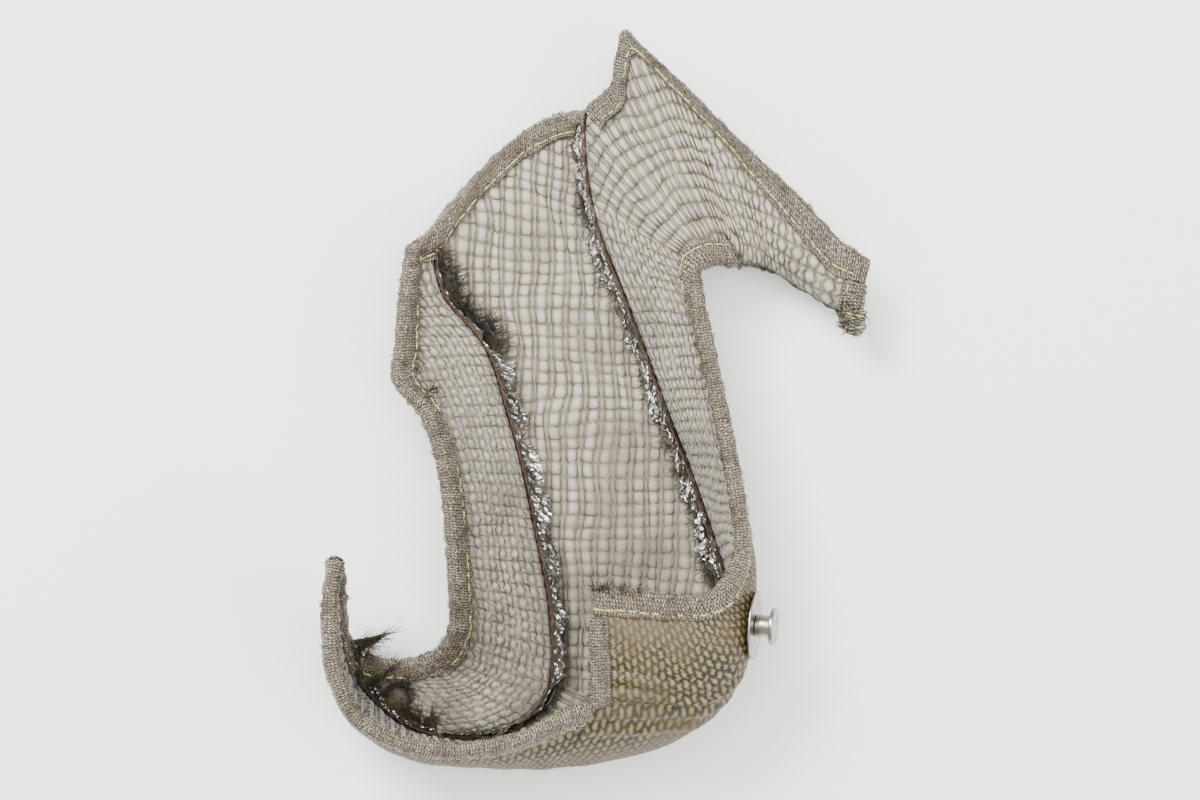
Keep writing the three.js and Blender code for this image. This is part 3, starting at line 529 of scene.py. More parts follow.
class StraightKnit(Knit):
    """Knitting whose wales run straight along y, however the sheet under it bends."""

    def cell_of(self, row, t):
        point = self.sheet.point(row, t)
        x, y = point[..., 0], point[..., 1]
        return x / self.wale, (y + self.droop(x, y)) / self.course

    @staticmethod
    def droop(x, y):
        """The courses fall to the right near the top end."""
        return DROOP * (x - DROOP_X) * smooth((y - DROOP_Y) / DROOP_RUN)

    def place_of(self, u, v):
        du, dv = self.warp(u, v)
        x = (u + du) * self.wale
        y = (v + dv) * self.course
        y = y - self.droop(x, y)
        rows, shares = np.meshgrid(np.linspace(*self.rows, 90), np.linspace(0, 1, 19), indexing="ij")
        known = self.sheet.point(rows, shares)[..., :2].reshape(-1, 2)
        wanted = np.stack([x, y], axis=-1).reshape(-1, 2)
        nearest = [np.argmin(((known - place) ** 2).sum(axis=1)) for place in wanted]
        row, t = rows.ravel()[nearest], shares.ravel()[nearest]
        for _ in range(6):
            here = self.sheet.point(row, t)[:, :2]
            by_row = (self.sheet.point(row + 0.02, t)[:, :2] - here) / 0.02
            by_share = (self.sheet.point(row, t + 0.01)[:, :2] - here) / 0.01
            off = wanted - here
            scale = by_row[:, 0] * by_share[:, 1] - by_row[:, 1] * by_share[:, 0]
            row = row + (off[:, 0] * by_share[:, 1] - off[:, 1] * by_share[:, 0]) / scale
            t = t + (by_row[:, 0] * off[:, 1] - by_row[:, 1] * off[:, 0]) / scale
            row, t = np.clip(row, *self.rows), np.clip(t, 0, 1)
        reached = distance(self.sheet.point(row, t)[:, :2], wanted) < 0.3 * MM
        return row.reshape(u.shape), t.reshape(u.shape), reached.reshape(u.shape)

    def stitches(self):
        rows, shares = np.meshgrid(np.linspace(*self.rows, 60), np.linspace(0, 1, 9), indexing="ij")
        u, v = self.cell_of(rows, shares)
        return (u.min(), u.max()), (v.min(), v.max())


BAND_STRAIGHT_END = 10.4
FLAP_TURN = 1.6
FLAP_MIDDLE = -3.0
KNITS = {
    "band": (
        StraightKnit(band, (0, BAND_STRAIGHT_END), 7.0 * MM, 5.6 * MM, 11, LADDER),
        SeamKnit(band, (BAND_STRAIGHT_END, TAB_END), 6.2 * MM, 5.2 * MM, 21, LADDER, turned=True),
    ),
    "left_panel": (
        SeamKnit(left_panel, (0, LEFT_PANEL_END), 6.6 * MM, 4.8 * MM, 31, HONEYCOMB, side=1),
    ),
    "right_panel": (
        SeamKnit(right_panel, (FLAP_END, FLAP_MIDDLE), 8.2 * MM, 5.8 * MM, 41, HONEYCOMB, 1, True),
        SeamKnit(right_panel, (FLAP_MIDDLE, FLAP_TURN), 3.8 * MM, 6.8 * MM, 45, LONG_LEG, 1, True),
        SeamKnit(right_panel, (FLAP_TURN, LID_END), 6.8 * MM, 5.0 * MM, 51, HONEYCOMB),
    ),
}
BACK_COARSENESS = 3  # cells of a sheet's seen side to one cell of its other side
MESH_DEPTH = 0.5 * MM  # of the wire's middle under the inside face
PATCH_OVERLAP = 0.03  # in stations, by which one patch of knitting runs into the next


def knitted_wire(name, material, diameter):
    """The wire mesh of one sheet, course by course, each course one bent wire."""
    sheet = SHEETS[name]
    wires = []
    for knit in KNITS[name]:
        draw = np.random.default_rng(knit.seed)
        (first_wale, last_wale), (first_course, last_course) = knit.stitches()
        wales = np.arange(np.floor(first_wale) - 1, np.ceil(last_wale) + 2)
        courses = np.arange(np.floor(first_course) - 1, np.ceil(last_course) + 2)
        wale, course = np.meshgrid(wales, courses)
        stitch = knit.stitch
        narrow = draw.uniform(0.7, 1.3, (*wale.shape, 1))
        shift = draw.uniform(-0.08, 0.08, (*wale.shape, 2, 1))
        legs = np.where(np.abs(stitch[:, 0]) < 0.34, narrow, 1)
        u = wale[..., None] + stitch[:, 0] * legs + shift[..., 0, :]
        v = course[..., None] + stitch[:, 1] + shift[..., 1, :] + draw.uniform(-0.04, 0.04, u.shape)
        height = np.broadcast_to(stitch[:, 2], u.shape) * diameter
        row, t, inside = knit.place_of(u, v)
        inside &= (row >= knit.rows[0] - PATCH_OVERLAP) & (row <= knit.rows[1] + PATCH_OVERLAP)
        points = sheet.face(row.ravel(), t.ravel(), 1, MESH_DEPTH).reshape(*u.shape, 3)
        normals = sheet.normal(row.ravel(), t.ravel()).reshape(*u.shape, 3)
        points = points + normals * height[..., None]
        for k in range(len(courses)):
            line, up, kept = points[k].reshape(-1, 3), normals[k].reshape(-1, 3), inside[k].ravel()
            breaks = np.flatnonzero(np.diff(np.concatenate([[0], kept, [0]])))
            for start, end in breaks.reshape(-1, 2):
                if end - start > 4:
                    wires.append(tube(line[start:end], up[start:end], diameter / 2, 4))
    vertices, faces, _ = joined(wires)
    piece = add_object(f"{name}_knitted_wire", vertices, faces, material)
    settle(piece, f"{name}_wire_mesh")


WOOL_GRID = 1.15 * MM
WOOL_DEPTH = 1 * MM  # of its lowest places under the inside face
LAYER_GAP = 0.1 * MM
LUMPS = ((61, 14 * MM, 0.4), (62, 5 * MM, 0.35), (63, 2.4 * MM, 0.2))  # (seed, size, weight)
LUMP_HEIGHT = 0.5 * MM


def wool_batt(name, material, swelling):
    """The wool of one sheet, which swells up through the windows of the knitting."""
    sheet = SHEETS[name]
    row, t = sheet.grid(WOOL_GRID, BACK_COARSENESS)
    t = sheet.gapped(row, t, BATT_GAP)
    relief = np.zeros_like(row)
    for knit in KNITS[name]:
        here = (row >= knit.rows[0]) & (row <= knit.rows[1])
        relief = np.where(here, knit.pillow(*knit.cell_of(row, t)), relief)
    u, v = t * sheet.width(row), row * STATION_LENGTH
    lumps = sum(wander(u, v, seed, size) * weight for seed, size, weight in LUMPS)
    swell = (sheet.thickness(row, t) - HEM_THICKNESS) / (PUFF_THICKNESS - HEM_THICKNESS)
    rise = swell * (swelling * relief + LUMP_HEIGHT * lumps)
    top = sheet.face(row, t, 1, WOOL_DEPTH) + sheet.normal(row, t) * rise[..., None]
    bottom = sheet.face(row, t, -1, CLOTH_THICKNESS + LAYER_GAP)
    bottom[..., 2] = np.maximum(bottom[..., 2], CLOTH_THICKNESS + LAYER_GAP)
    vertices, faces = slab(top, bottom, BACK_COARSENESS)
    # the relief goes to the material, which paints shade into the wool's hollows with it
    piece = add_object(
        f"{name}_wool", vertices, faces, material,
        uv=on_upper_side(vertices, np.stack([u, v], -1).reshape(-1, 2)),
        attributes={"relief": on_upper_side(vertices, relief.ravel())},
    )
    settle(piece, f"{name}_wool_batt")


# Woven basalt cloth

YARN_PITCH = 2.8 * MM
FLOAT_LENGTH = 4.5 * MM  # of one over-and-under of a yarn
YARN_SLANT = 0.35  # of a float's length, across the width of its yarn
ACROSS_POWER, ALONG_POWER = 0.5, 0.4  # the lower, the squarer a float is
CLOTH_GRID = {"band": 0.95 * MM, "left_panel": 0.95 * MM, "right_panel": 0.8 * MM}
# Folds beside the right seam: (height and distance from the seam in mm, width in mm)
TOE_FOLDS = ((-1.5, 0, 1.3), (1.0, 3.6, 1.7), (-1.1, 7.4, 1.5), (0.7, 11, 2.0), (-0.5, 15, 1.8))


def weave(u, v):
    """Height of the cloth's face, 0 to 1: yarns side by side, each over and under, slanted by turns."""
    column = np.floor(u / YARN_PITCH)
    x = u / YARN_PITCH - column - 0.5
    odd = column % 2
    y = v / FLOAT_LENGTH + odd / 2 + x * (odd * 2 - 1) * YARN_SLANT
    return np.cos(np.pi * x) ** ACROSS_POWER * np.abs(np.cos(np.pi * y)) ** ALONG_POWER


def toe_folds(row, away):
    """How far the cloth stands out in the folds that run beside the right seam round the toe."""
    away = (away + 0.9 * MM * wander(row * STATION_LENGTH, row * 0, 75, 30 * MM)) / MM
    folds = sum(height * np.exp(-(((away - place) / width) ** 2)) for height, place, width in TOE_FOLDS)
    return folds * MM * smooth((row - 9.6) / 1.0) * smooth((13.2 - row) / 0.5)


DENT_DEPTH = 0.3 * MM
THINNEST_CLOTH = 0.15 * MM  # where a fold sinks into it


def outer_cloth(name, material, weave_depth):
    """The outer cloth of one sheet, its face woven, dented, and folded round the toe."""
    sheet = SHEETS[name]
    row, t = sheet.grid(CLOTH_GRID[name], BACK_COARSENESS)
    t = sheet.gapped(row, t, CLOTH_GAP)
    middle = sheet.point(row[:, 0], np.full(len(row), 0.5))
    run = run_along(middle)
    u = np.broadcast_to(run[:, None], row.shape) + 0.4 * MM * wander(row * STATION_LENGTH, t, 71, 30 * MM)
    v = t * sheet.width(row) + 0.5 * MM * wander(row * STATION_LENGTH, t, 72, 30 * MM)
    relief = weave(u, v)
    dents = wander(u, v, 73, 22 * MM) * DENT_DEPTH * smooth((sheet.thickness(row, t) - HEM_THICKNESS) / MM)
    away = sheet.width(row) * (t if sheet is right_panel else 1 - t)
    sunk = (1 - relief) * weave_depth + dents - (0 if sheet is left_panel else toe_folds(row, away))
    sunk = np.minimum(sunk, CLOTH_THICKNESS - THINNEST_CLOTH)
    outside = sheet.face(row, t, -1) + sheet.normal(row, t) * sunk[..., None]
    outside[..., 2] = np.maximum(outside[..., 2], 0)
    inside = sheet.face(row, t, -1, CLOTH_THICKNESS)
    inside[..., 2] = np.maximum(inside[..., 2], CLOTH_THICKNESS)
    vertices, faces = slab(outside, inside, BACK_COARSENESS)
    faces = [face[::-1] for face in faces]
    piece = add_object(
        f"{name}_basalt_cloth", vertices, faces, material,
        uv=on_upper_side(vertices, np.stack([u, v], -1).reshape(-1, 2)),
        attributes={"relief": on_upper_side(vertices, np.ones(relief.size))},
    )
    settle(piece, f"{name}_outer_cloth")
    area = sheet_area(sheet)
    width = sheet.width(row[:, 0]).max()


def sheet_area(sheet):
    """Area of a sheet's middle surface."""
    row, t = sheet.grid(4 * MM)
    p = sheet.point(row, t)
    return distance(np.cross(p[1:, :-1] - p[:-1, :-1], p[:-1, 1:] - p[:-1, :-1]), 0).sum()


# Binding tape and its stitching

TAPE_INSIDE = HEM_THICKNESS / 2 + 0.15 * MM  # height of the tape's inner skin above the mid-surface
TAPE_SHARES = np.array([0.98, 0.93, 0.84, 0.77, 0.73, 0.66, 0.5, 0.32, 0.15, 0.0])  # of its width, inwards
NOSE_ANGLES = np.radians([60, 30, 0, -30, -60])
TAPE_SPACING = 1.3 * MM  # between the cross-sections of a tape


def skin_height(share):
    """Height of the tape's outer skin: thin at its lip, pressed in along the stitching."""
    lip = 0.45 + 0.55 * smooth((1 - share) / 0.1)
    puff = 0.3 * np.sin(np.pi * np.clip(share / 0.7, 0, 1))
    groove = 0.5 * np.exp(-(((share - TOPSTITCH_INSET / TAPE_WIDTH) / 0.06) ** 2))
    return TAPE_INSIDE + TAPE_THICKNESS * (lip + puff - groove)


class EdgeRun:
    """A stretch of a panel's edge: places on it, places a tape's width in from it, and normals."""

    def __init__(self, edge, inner, edge_normal, inner_normal):
        self.edge, self.inner, self.edge_normal, self.inner_normal = edge, inner, edge_normal, inner_normal

    def __add__(self, other):
        both = zip(vars(self).values(), vars(other).values())
        return EdgeRun(*(np.concatenate([mine[:-1], theirs]) for mine, theirs in both))

    def run(self):
        return run_along(self.edge)

    def place(self, share, beyond, height):
        """Points at a share of the way in, a distance beyond the edge, and a height."""
        outwards = unit(self.edge - self.inner)
        share = np.broadcast_to(share, len(self.edge))[:, None]
        normal = unit(self.edge_normal * (1 - share) + self.inner_normal * share)
        height = np.broadcast_to(height, len(self.edge))[:, None]
        return self.edge + (self.inner - self.edge) * share + outwards * beyond + normal * height, normal


def side_run(sheet, side, first, last):
    """The run along one side of a sheet, from one row to another."""
    sample = np.linspace(first, last, 300)
    line = sheet.point(sample, np.full(300, float(side)))
    lengths = run_along(line)
    row = np.interp(np.arange(0, lengths[-1], TAPE_SPACING), lengths, sample)
    edge = np.full_like(row, float(side))
    inner = np.abs(edge - np.minimum(TAPE_WIDTH / sheet.width(row), 0.45))
    return EdgeRun(
        sheet.point(row, edge), sheet.point(row, inner), sheet.normal(row, edge), sheet.normal(row, inner)
    )


def end_run(sheet, row, inner_row, first, last):
    """The run along an end row of a sheet, from one share of its width to another."""
    count = max(4, int(sheet.width(np.array([float(row)]))[0] * abs(last - first) / TAPE_SPACING))
    t = np.linspace(first, last, count)
    outer, inner = np.full_like(t, float(row)), np.full_like(t, float(inner_row))
    points = sheet.point(outer, t), sheet.point(inner, t)
    return EdgeRun(*points, sheet.normal(outer, t), sheet.normal(inner, t))


TAPES = {
    "left_rim": side_run(left_panel, 0, 0, LEFT_PANEL_END),
    "top_end": end_run(left_panel, 0, 0.42, 0.3, 1) + end_run(band, 0, 0.42, 0, 1),
    "flap_edge": side_run(right_panel, 0, FLAP_END, -0.02),
    "flap_end": end_run(right_panel, FLAP_END, -6.35, 0.3, 0.7),
    "right_rim": side_run(right_panel, 1, FLAP_END, LID_END),
    "lid_end": end_run(right_panel, LID_END, 12.72, 0, 0.78),
    "toe_rim": side_run(band, 1, 13, TAB_END),
    "tab_edge": side_run(band, 0, 16.5, TAB_END),
    "tab_tip": end_run(band, TAB_END, 19.4, 0.15, 0.85),
}
TOPSTITCH_NODES = {
    ("left_rim", "inner"): "left_rim_topstitch",
    ("top_end", "inner"): "top_end_topstitch",
    ("flap_edge", "inner"): "flap_edge_topstitch",
    ("right_rim", "inner"): "right_rim_inner_topstitch",
    ("right_rim", "outer"): "right_rim_outer_topstitch",
    ("toe_rim", "inner"): "toe_rim_topstitch",
}
STITCH_SIDES = 5
LEAST_WEAR = 0.25
STITCHED_TAPES = ("left_rim", "top_end", "flap_edge", "flap_end", "right_rim", "toe_rim")
STITCH_WEAR = {"left_rim": 0.55, "toe_rim": 0.6}  # share of the stitches that are worn down into the tape


def binding(name, material):
    """One folded strip of knitted wire tape over an edge, and its outer skin, for the small loops that stand
    out of it.
    """
    edge = TAPES[name]
    seed = list(TAPES).index(name)
    run = edge.run()
    section = [(share, 0.0, skin_height(share)) for share in TAPE_SHARES]
    nose = TAPE_THICKNESS + CLEARANCE
    section += [(0.0, nose * np.cos(a), skin_height(0.0) * np.sin(a)) for a in NOSE_ANGLES]
    section += [(share, 0.0, -skin_height(share)) for share in TAPE_SHARES[::-1]]
    outer_count = len(section)
    section += [(share, 0.0, -TAPE_INSIDE) for share in (0.98, 0.5)]
    section += [(0.0, 0.1 * MM, -TAPE_INSIDE), (0.0, 0.1 * MM, TAPE_INSIDE)]
    section += [(share, 0.0, TAPE_INSIDE) for share in (0.5, 0.98)]
    around = np.cumsum([0] + [
        np.hypot((b[0] - a[0]) * TAPE_WIDTH + b[1] - a[1], b[2] - a[2]) for a, b in zip(section, section[1:])
    ])
    draw = np.random.default_rng(100 + seed)
    rings, normals = [], []
    for k, (share, beyond, height) in enumerate(section):
        if k < outer_count:
            uneven = wander(run, np.full_like(run, around[k]), 110 + seed, 7 * MM) * 0.45 * MM
            uneven = uneven + draw.uniform(-0.22, 0.22, len(run)) * MM
            edgeways = 0.05 * wander(run, run * 0, 130 + seed, 12 * MM) * (share > 0.9)
        else:
            uneven, edgeways = np.zeros(len(run)), 0
        points, normal = edge.place(share + edgeways, beyond, height)
        outward = normal * np.sign(height)
        if beyond > 0.1 * MM:
            outward = unit(edge.edge - edge.inner)
        points = points + outward * uneven[:, None]
        rings.append(points)
        normals.append(outward)
    rings = np.stack(rings, axis=1)
    indices = np.arange(rings[..., 0].size).reshape(rings.shape[:2])
    faces = quads(np.concatenate([indices, indices[:, :1]], axis=1))
    faces += [indices[0].tolist(), indices[-1][::-1].tolist()]
    vertices = rings.reshape(-1, 3)
    uv = np.stack(np.meshgrid(run, around, indexing="ij"), axis=-1).reshape(-1, 2)
    # a sweep whose edge lies on the other side of its run comes out inside out
    outward = np.stack(normals, axis=1)[:, 2]
    turn = np.cross(rings[1:, 2] - rings[:-1, 2], rings[:-1, 3] - rings[:-1, 2])
    if (turn * outward[:-1]).sum() < 0:
        faces = [face[::-1] for face in faces]
    piece = add_object(f"{name}_wire_tape", vertices, faces, material, uv=uv)
    settle(piece, f"{name}_binding")
    return rings[:, :outer_count], np.stack(normals, axis=1)[:, :outer_count]


FUZZ_DENSITY = 2.4  # loops to each cross-section of a tape
FUZZ_LENGTHS, FUZZ_HEIGHTS, FUZZ_LEAN = (1.0, 2.8), (0.3, 1.3), 0.5  # millimetres
FUZZ_RADIUS = 0.15 * MM


def tape_fuzz(skins, material):
    """Loops of fine wire that have been pulled out of the tapes, most of them along the folds."""
    draw = np.random.default_rng(200)
    loops = []
    for rings, normals in skins:
        rows, columns = rings.shape[:2]
        for number in range(int(rows * FUZZ_DENSITY)):
            i = draw.integers(2, rows - 2)
            k = draw.integers(8, columns - 8) if number % 3 else draw.integers(1, columns - 1)
            here, out = rings[i, k], unit(normals[i, k])
            along = unit(rings[i + 1, k] - rings[i - 1, k])
            beside = np.cross(along, out)
            heading = draw.uniform(0, 2 * np.pi)
            ahead = np.cos(heading) * along + np.sin(heading) * beside
            length, height = draw.uniform(*FUZZ_LENGTHS) * MM, draw.uniform(*FUZZ_HEIGHTS) * MM
            u = np.linspace(0, 1, 6)[:, None]
            lean = draw.uniform(-FUZZ_LEAN, FUZZ_LEAN) * MM * np.cross(ahead, out)
            line = here + ahead * length * (u - 0.5) + (out * height + lean) * np.sin(np.pi * u)
            line = line - out * 0.1 * MM
            loops.append(tube(line, np.broadcast_to(np.cross(ahead, out), line.shape), FUZZ_RADIUS, 3))
    vertices, faces, _ = joined(loops)
    settle(add_object("tape_loose_loops", vertices, faces, material, uv=vertices[:, :2]))


TORN_SHADE_POWER = 1.5  # by which most loose fibres are dark
FIBRE_POINTS = 6
FIBRE_RADII = np.linspace(0.2, 0.08, FIBRE_POINTS) * MM


def curl_of(heading, draw):
    """Which way, and how much, a fibre curls from its heading."""
    return np.cross(heading, unit(draw.normal(0, 1, 3))) * draw.uniform(-0.5, 0.5)


def fibre(start, heading, curl, length, sag):
    """A tapering fibre that leaves on a heading, curls and sags, and stays above the table."""
    u = np.linspace(0, 1, FIBRE_POINTS)[:, None]
    line = start + length * (heading * u + curl * u**2)
    line[:, 2] = np.maximum(line[:, 2] - sag * u[:, 0] ** 2, CLEARANCE)
    return tube(line, np.broadcast_to(np.cross(heading, unit(curl)), line.shape), FIBRE_RADII, 3)


def add_fibres(name, fibres, lightest, material, draw):
    """Basalt fibres as one piece, each with a shade of its own."""
    vertices, faces, sources = joined(fibres)
    shades = draw.uniform(0.0, lightest, len(fibres))[sources] ** TORN_SHADE_POWER
    piece = add_object(name, vertices, faces, material, uv=vertices[:, :2], attributes={"relief": shades})
    settle(piece)


# Where cloth yarns have worked out through the tapes: (x, y, spread, number, length)
TUFTS = (
    (0.1088, 0.0335, 0.009, 130, 0.0035),
    (0.0115, -0.0765, 0.009, 90, 0.004), (0.001, -0.0755, 0.006, 50, 0.004),
    (-0.066, 0.008, 0.006, 40, 0.004), (-0.0705, 0.016, 0.006, 30, 0.004),
)


def tufts(skins, material):
    """Bunches of basalt fibre that stand out of the tapes where the cloth beneath has frayed."""
    draw = np.random.default_rng(500)
    rings = np.concatenate([skin[0].reshape(-1, 3) for skin in skins])
    normals = np.concatenate([unit(skin[1].reshape(-1, 3)) for skin in skins])
    facing_up = normals[:, 2] > 0.3
    rings, normals = rings[facing_up], normals[facing_up]
    fibres = []
    for x, y, spread, number, length in TUFTS:
        for _ in range(number):
            target = draw.normal((x, y), spread / 2)
            gaps = np.hypot(*(rings[:, :2] - target).T)
            near = gaps < gaps.min() + 1.5 * MM
            k = np.flatnonzero(near)[np.argmax(rings[near, 2])]
            start = np.array([*(0.7 * rings[k, :2] + 0.3 * target), rings[k, 2] - 0.5 * MM])
            heading = unit(normals[k] * 0.5 + draw.normal(0, 0.7, 3) + (0, 0, 0.2))
            curl = curl_of(heading, draw)
            fibres.append(fibre(start, heading, curl, length * draw.uniform(0.5, 1.3), 0.35 * length))
    add_fibres("tape_basalt_tufts", fibres, 0.8, material, draw)


def topstitches(name, material, stitch_length):
    """Lockstitches along a tape, on both of its faces, each stitch diving into the tape at its ends."""
    edge = TAPES[name]
    seed = list(TAPES).index(name)
    run = edge.run()
    fine = np.arange(0, run[-1], stitch_length / 7)
    for face, word in ((1, "inner"), (-1, "outer")):
        share = TOPSTITCH_INSET / TAPE_WIDTH
        base, normal = edge.place(share, 0.0, face * skin_height(share))
        line = resampled(fine, run, base)
        up = face * unit(resampled(fine, run, normal))
        phase = np.abs(np.sin(np.pi * fine / stitch_length))
        worn = 4 * STITCH_WEAR.get(name, LEAST_WEAR)
        hidden = smooth(wander(fine, fine * 0, 90 + seed, 40 * MM) * 3 - 3 + worn)
        lift = (-0.5 + 0.85 * phase**0.6 - 0.9 * hidden) * MM
        sideways = unit(np.cross(np.gradient(line, axis=0), up))
        stray = 0.35 * MM * wander(fine, fine * 0, 7, 16 * MM)
        line = line + up * lift[:, None] + sideways * stray[:, None]
        vertices, faces = tube(line, up, (0.24 + 0.1 * phase) * MM, STITCH_SIDES)
        uv = np.repeat(np.stack([fine, fine * 0], axis=-1), STITCH_SIDES, axis=0)
        piece = add_object(f"{name}_{word}_stitches", vertices, faces, material, uv=uv)
        settle(piece, TOPSTITCH_NODES.get((name, word)))


# Seam allowances

FOIL_THICKNESS = 0.15 * MM
PLY_THICKNESS = 0.7 * MM
SEAM_STITCH_LENGTH = 5 * MM
SEAM_THREAD_HEIGHT = 3.2 * MM  # above the pressed seam
PLY_SHADE = 0.03  # of a ply's cloth, against 1 for the face of the outer cloth
FRAY_DENSITY = {"left_seam": 6, "right_seam": 6, "toe_seam": 14}  # fibres to each row of a ply
SEAM_SEEDS = {"left_seam": 300, "right_seam": 340, "toe_seam": 380}


class Seam:
    """A seam's base line, the way up from it, and the way towards the band."""

    def __init__(self, name, line, panels, sides, first_row, last_row, towards):
        self.name = name
        sample = np.linspace(first_row, last_row, 300)
        points = line(station_of(sample, np.zeros(300)) if line is left_seam else sample)
        lengths = run_along(points)
        self.run = np.arange(0, lengths[-1], 1.1 * MM)
        self.row = np.interp(self.run, lengths, sample)
        station = station_of(self.row, self.row * 0) if line is left_seam else self.row
        self.base = line(station)
        meet = [
            inward_normal(panel, self.row, np.full_like(self.row, float(side)))
            for panel, side in zip(panels, sides)
        ]
        self.up = unit(meet[0] + meet[1])
        self.towards = unit(np.cross(np.gradient(self.base, axis=0), self.up)) * towards

    def node_of(self, layer):
        """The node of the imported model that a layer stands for. The toe's seam has none."""
        return None if self.name == "toe_seam" else f"{self.name}_{layer}"


SEAMS = {
    "left_seam": Seam("left_seam", left_seam, (left_point, band_point), (1, 0), 0.2, 14.4, -1),
    "right_seam": Seam("right_seam", right_seam, (band_point, right_point), (1, 0), 0.2, 12.4, 1),
    "toe_seam": Seam("toe_seam", left_seam, (left_point, band_point), (1, 0), 14.5, 17.4, 1),
}


# How high each ply stands above the mesh: (row, height)
FOIL_HEIGHT = {
    "left_seam": curve(((0.2, 0.003), (3.4, 0.004), (4.6, 0.0095), (8, 0.0105), (14.4, 0.009))),
    "right_seam": curve(((0.2, 0.004), (1.6, 0.008), (7.4, 0.0085), (8.5, 0.004), (12.4, 0.007))),
    "toe_seam": curve(((14.4, 0.004), (15.2, 0.008), (17.4, 0.006))),
}
CLOTH_HEIGHT = {
    "left_seam": curve(((0.2, 0.007), (3.4, 0.009), (5, 0.006), (10, 0.005), (14.4, 0.008))),
    "right_seam": curve(((0.2, 0.005), (2, 0.005), (7, 0.006), (9, 0.008), (12.4, 0.006))),
    "toe_seam": curve(((14.4, 0.007), (15.5, 0.012), (17.4, 0.012))),
}


def ply(seam, seed, offset, lean, crumple, height, torn, jitter=0.0):
    """Points of a standing ply: a grid along the seam and up from it, crumpled and torn at its top."""
    levels = np.linspace(0, 1, 11)
    height = height(seam.row)[:, 0][:, None]
    run, level = np.meshgrid(seam.run, levels, indexing="ij")
    tear = 1 - torn * smooth(0.5 + 0.9 * wander(run, run * 0, seed, 17 * MM))
    tear = tear * (1 - 0.25 * torn * (0.5 + 0.5 * wander(run, run * 0, seed + 1, 4 * MM)))
    foot = CLOTH_THICKNESS + 0.2 * MM - HEM_THICKNESS / 2
    rise = foot + (HEM_THICKNESS / 2 - foot + height * tear) * level
    above = np.clip((rise - HEM_THICKNESS / 2) / ALLOWANCE_HEIGHT, 0, 1.3)
    side = offset + lean * above**1.6 + crumple * above**0.7 * (
        wander(run, rise, seed + 2, 11 * MM) + 0.45 * wander(run, rise, seed + 3, 4 * MM)
    )
    points = seam.base[:, None] + seam.up[:, None] * rise[..., None] + seam.towards[:, None] * side[..., None]
    shaken = np.random.default_rng(seed + 4).uniform(-jitter, jitter, points.shape)
    points = points + shaken * smooth(above * 2)[..., None]
    points[..., 2] = np.maximum(points[..., 2], 0.5 * MM)
    return points, run, rise


def standing_ply(name, layer, seam, points, run, rise, thickness, material, smooth_shaded=True):
    """A ply that stands in a seam, out of its middle surface."""
    normals = unit(np.cross(np.gradient(points, axis=0), np.gradient(points, axis=1)))
    vertices, faces = slab(points + normals * thickness / 2, points - normals * thickness / 2)
    uv = np.stack([run, rise], axis=-1).reshape(-1, 2)
    piece = add_object(
        name, vertices, faces, material, uv=np.concatenate([uv, uv]), smooth_shaded=smooth_shaded,
        attributes={"relief": np.full(len(vertices), PLY_SHADE)},
    )
    settle(piece, seam.node_of(layer))
    edges = np.cross(points[1:, :-1] - points[:-1, :-1], points[:-1, 1:] - points[:-1, :-1])
    area = distance(edges, 0).sum()


def seam_plies(name, foil_material, cloth_material, thread_material):
    """The foil, the cloth and its loose fibres, and the thread of one seam."""
    seam = SEAMS[name]
    seed = SEAM_SEEDS[name]
    points, run, rise = ply(seam, seed, -0.4 * MM, 4 * MM, 1.2 * MM, FOIL_HEIGHT[name], 0.5, 0.45 * MM)
    standing_ply(
        f"{name}_foil_ply", "foil", seam, points, run, rise, FOIL_THICKNESS, foil_material, False
    )
    points, run, rise = ply(seam, seed + 9, 0.5 * MM, 5.5 * MM, 1.2 * MM, CLOTH_HEIGHT[name], 0.6)
    standing_ply(
        f"{name}_basalt_ply", "allowance", seam, points, run, rise, PLY_THICKNESS, cloth_material,
    )
    fray(f"{name}_fray", seam, points, cloth_material, seed)
    fine = np.arange(0, seam.run[-1], 0.7 * MM)
    base, up, towards = (resampled(fine, seam.run, values) for values in (seam.base, seam.up, seam.towards))
    up, towards = unit(up), unit(towards)
    phase = np.abs(np.sin(np.pi * fine / SEAM_STITCH_LENGTH))
    uneven = 0.5 * MM * wander(fine, fine * 0, seed, 21 * MM)
    line = base + up * (HEM_THICKNESS / 2 + SEAM_THREAD_HEIGHT + uneven)[:, None]
    line = line - towards * ((0.9 + 0.5 * phase) * MM)[:, None]
    vertices, faces = tube(line, up, (0.22 + 0.1 * phase) * MM, STITCH_SIDES)
    piece = add_object(f"{name}_stitches", vertices, faces, thread_material)
    settle(piece, seam.node_of("thread"))


def fray(name, seam, points, material, seed):
    """Basalt yarns that have come loose from the top of a seam's cloth ply."""
    draw = np.random.default_rng(seed)
    fibres = []
    rows = len(points)
    thick = smooth((CLOTH_HEIGHT[seam.name](seam.row)[:, 0] - 5 * MM) / (4 * MM)) + 0.25
    share = thick[1:] / thick[1:].sum()
    places = draw.choice(np.arange(1, rows), size=rows * FRAY_DENSITY[seam.name], p=share)
    for i in places:
        k = draw.integers(5, 11)
        length = draw.uniform(2.5, 5 + 6 * thick[i]) * MM
        along = unit(points[i] - points[i - 1])[k]
        heading = seam.up[i] * draw.uniform(0.1, 0.9) + seam.towards[i] * draw.uniform(-0.2, 1.2)
        heading = unit(heading + along * draw.normal(0, 0.55))
        fibres.append(fibre(points[i, k], heading, curl_of(heading, draw), length, 0.25 * length))
    add_fibres(name, fibres, 0.75, material, draw)


# The lacing anchor

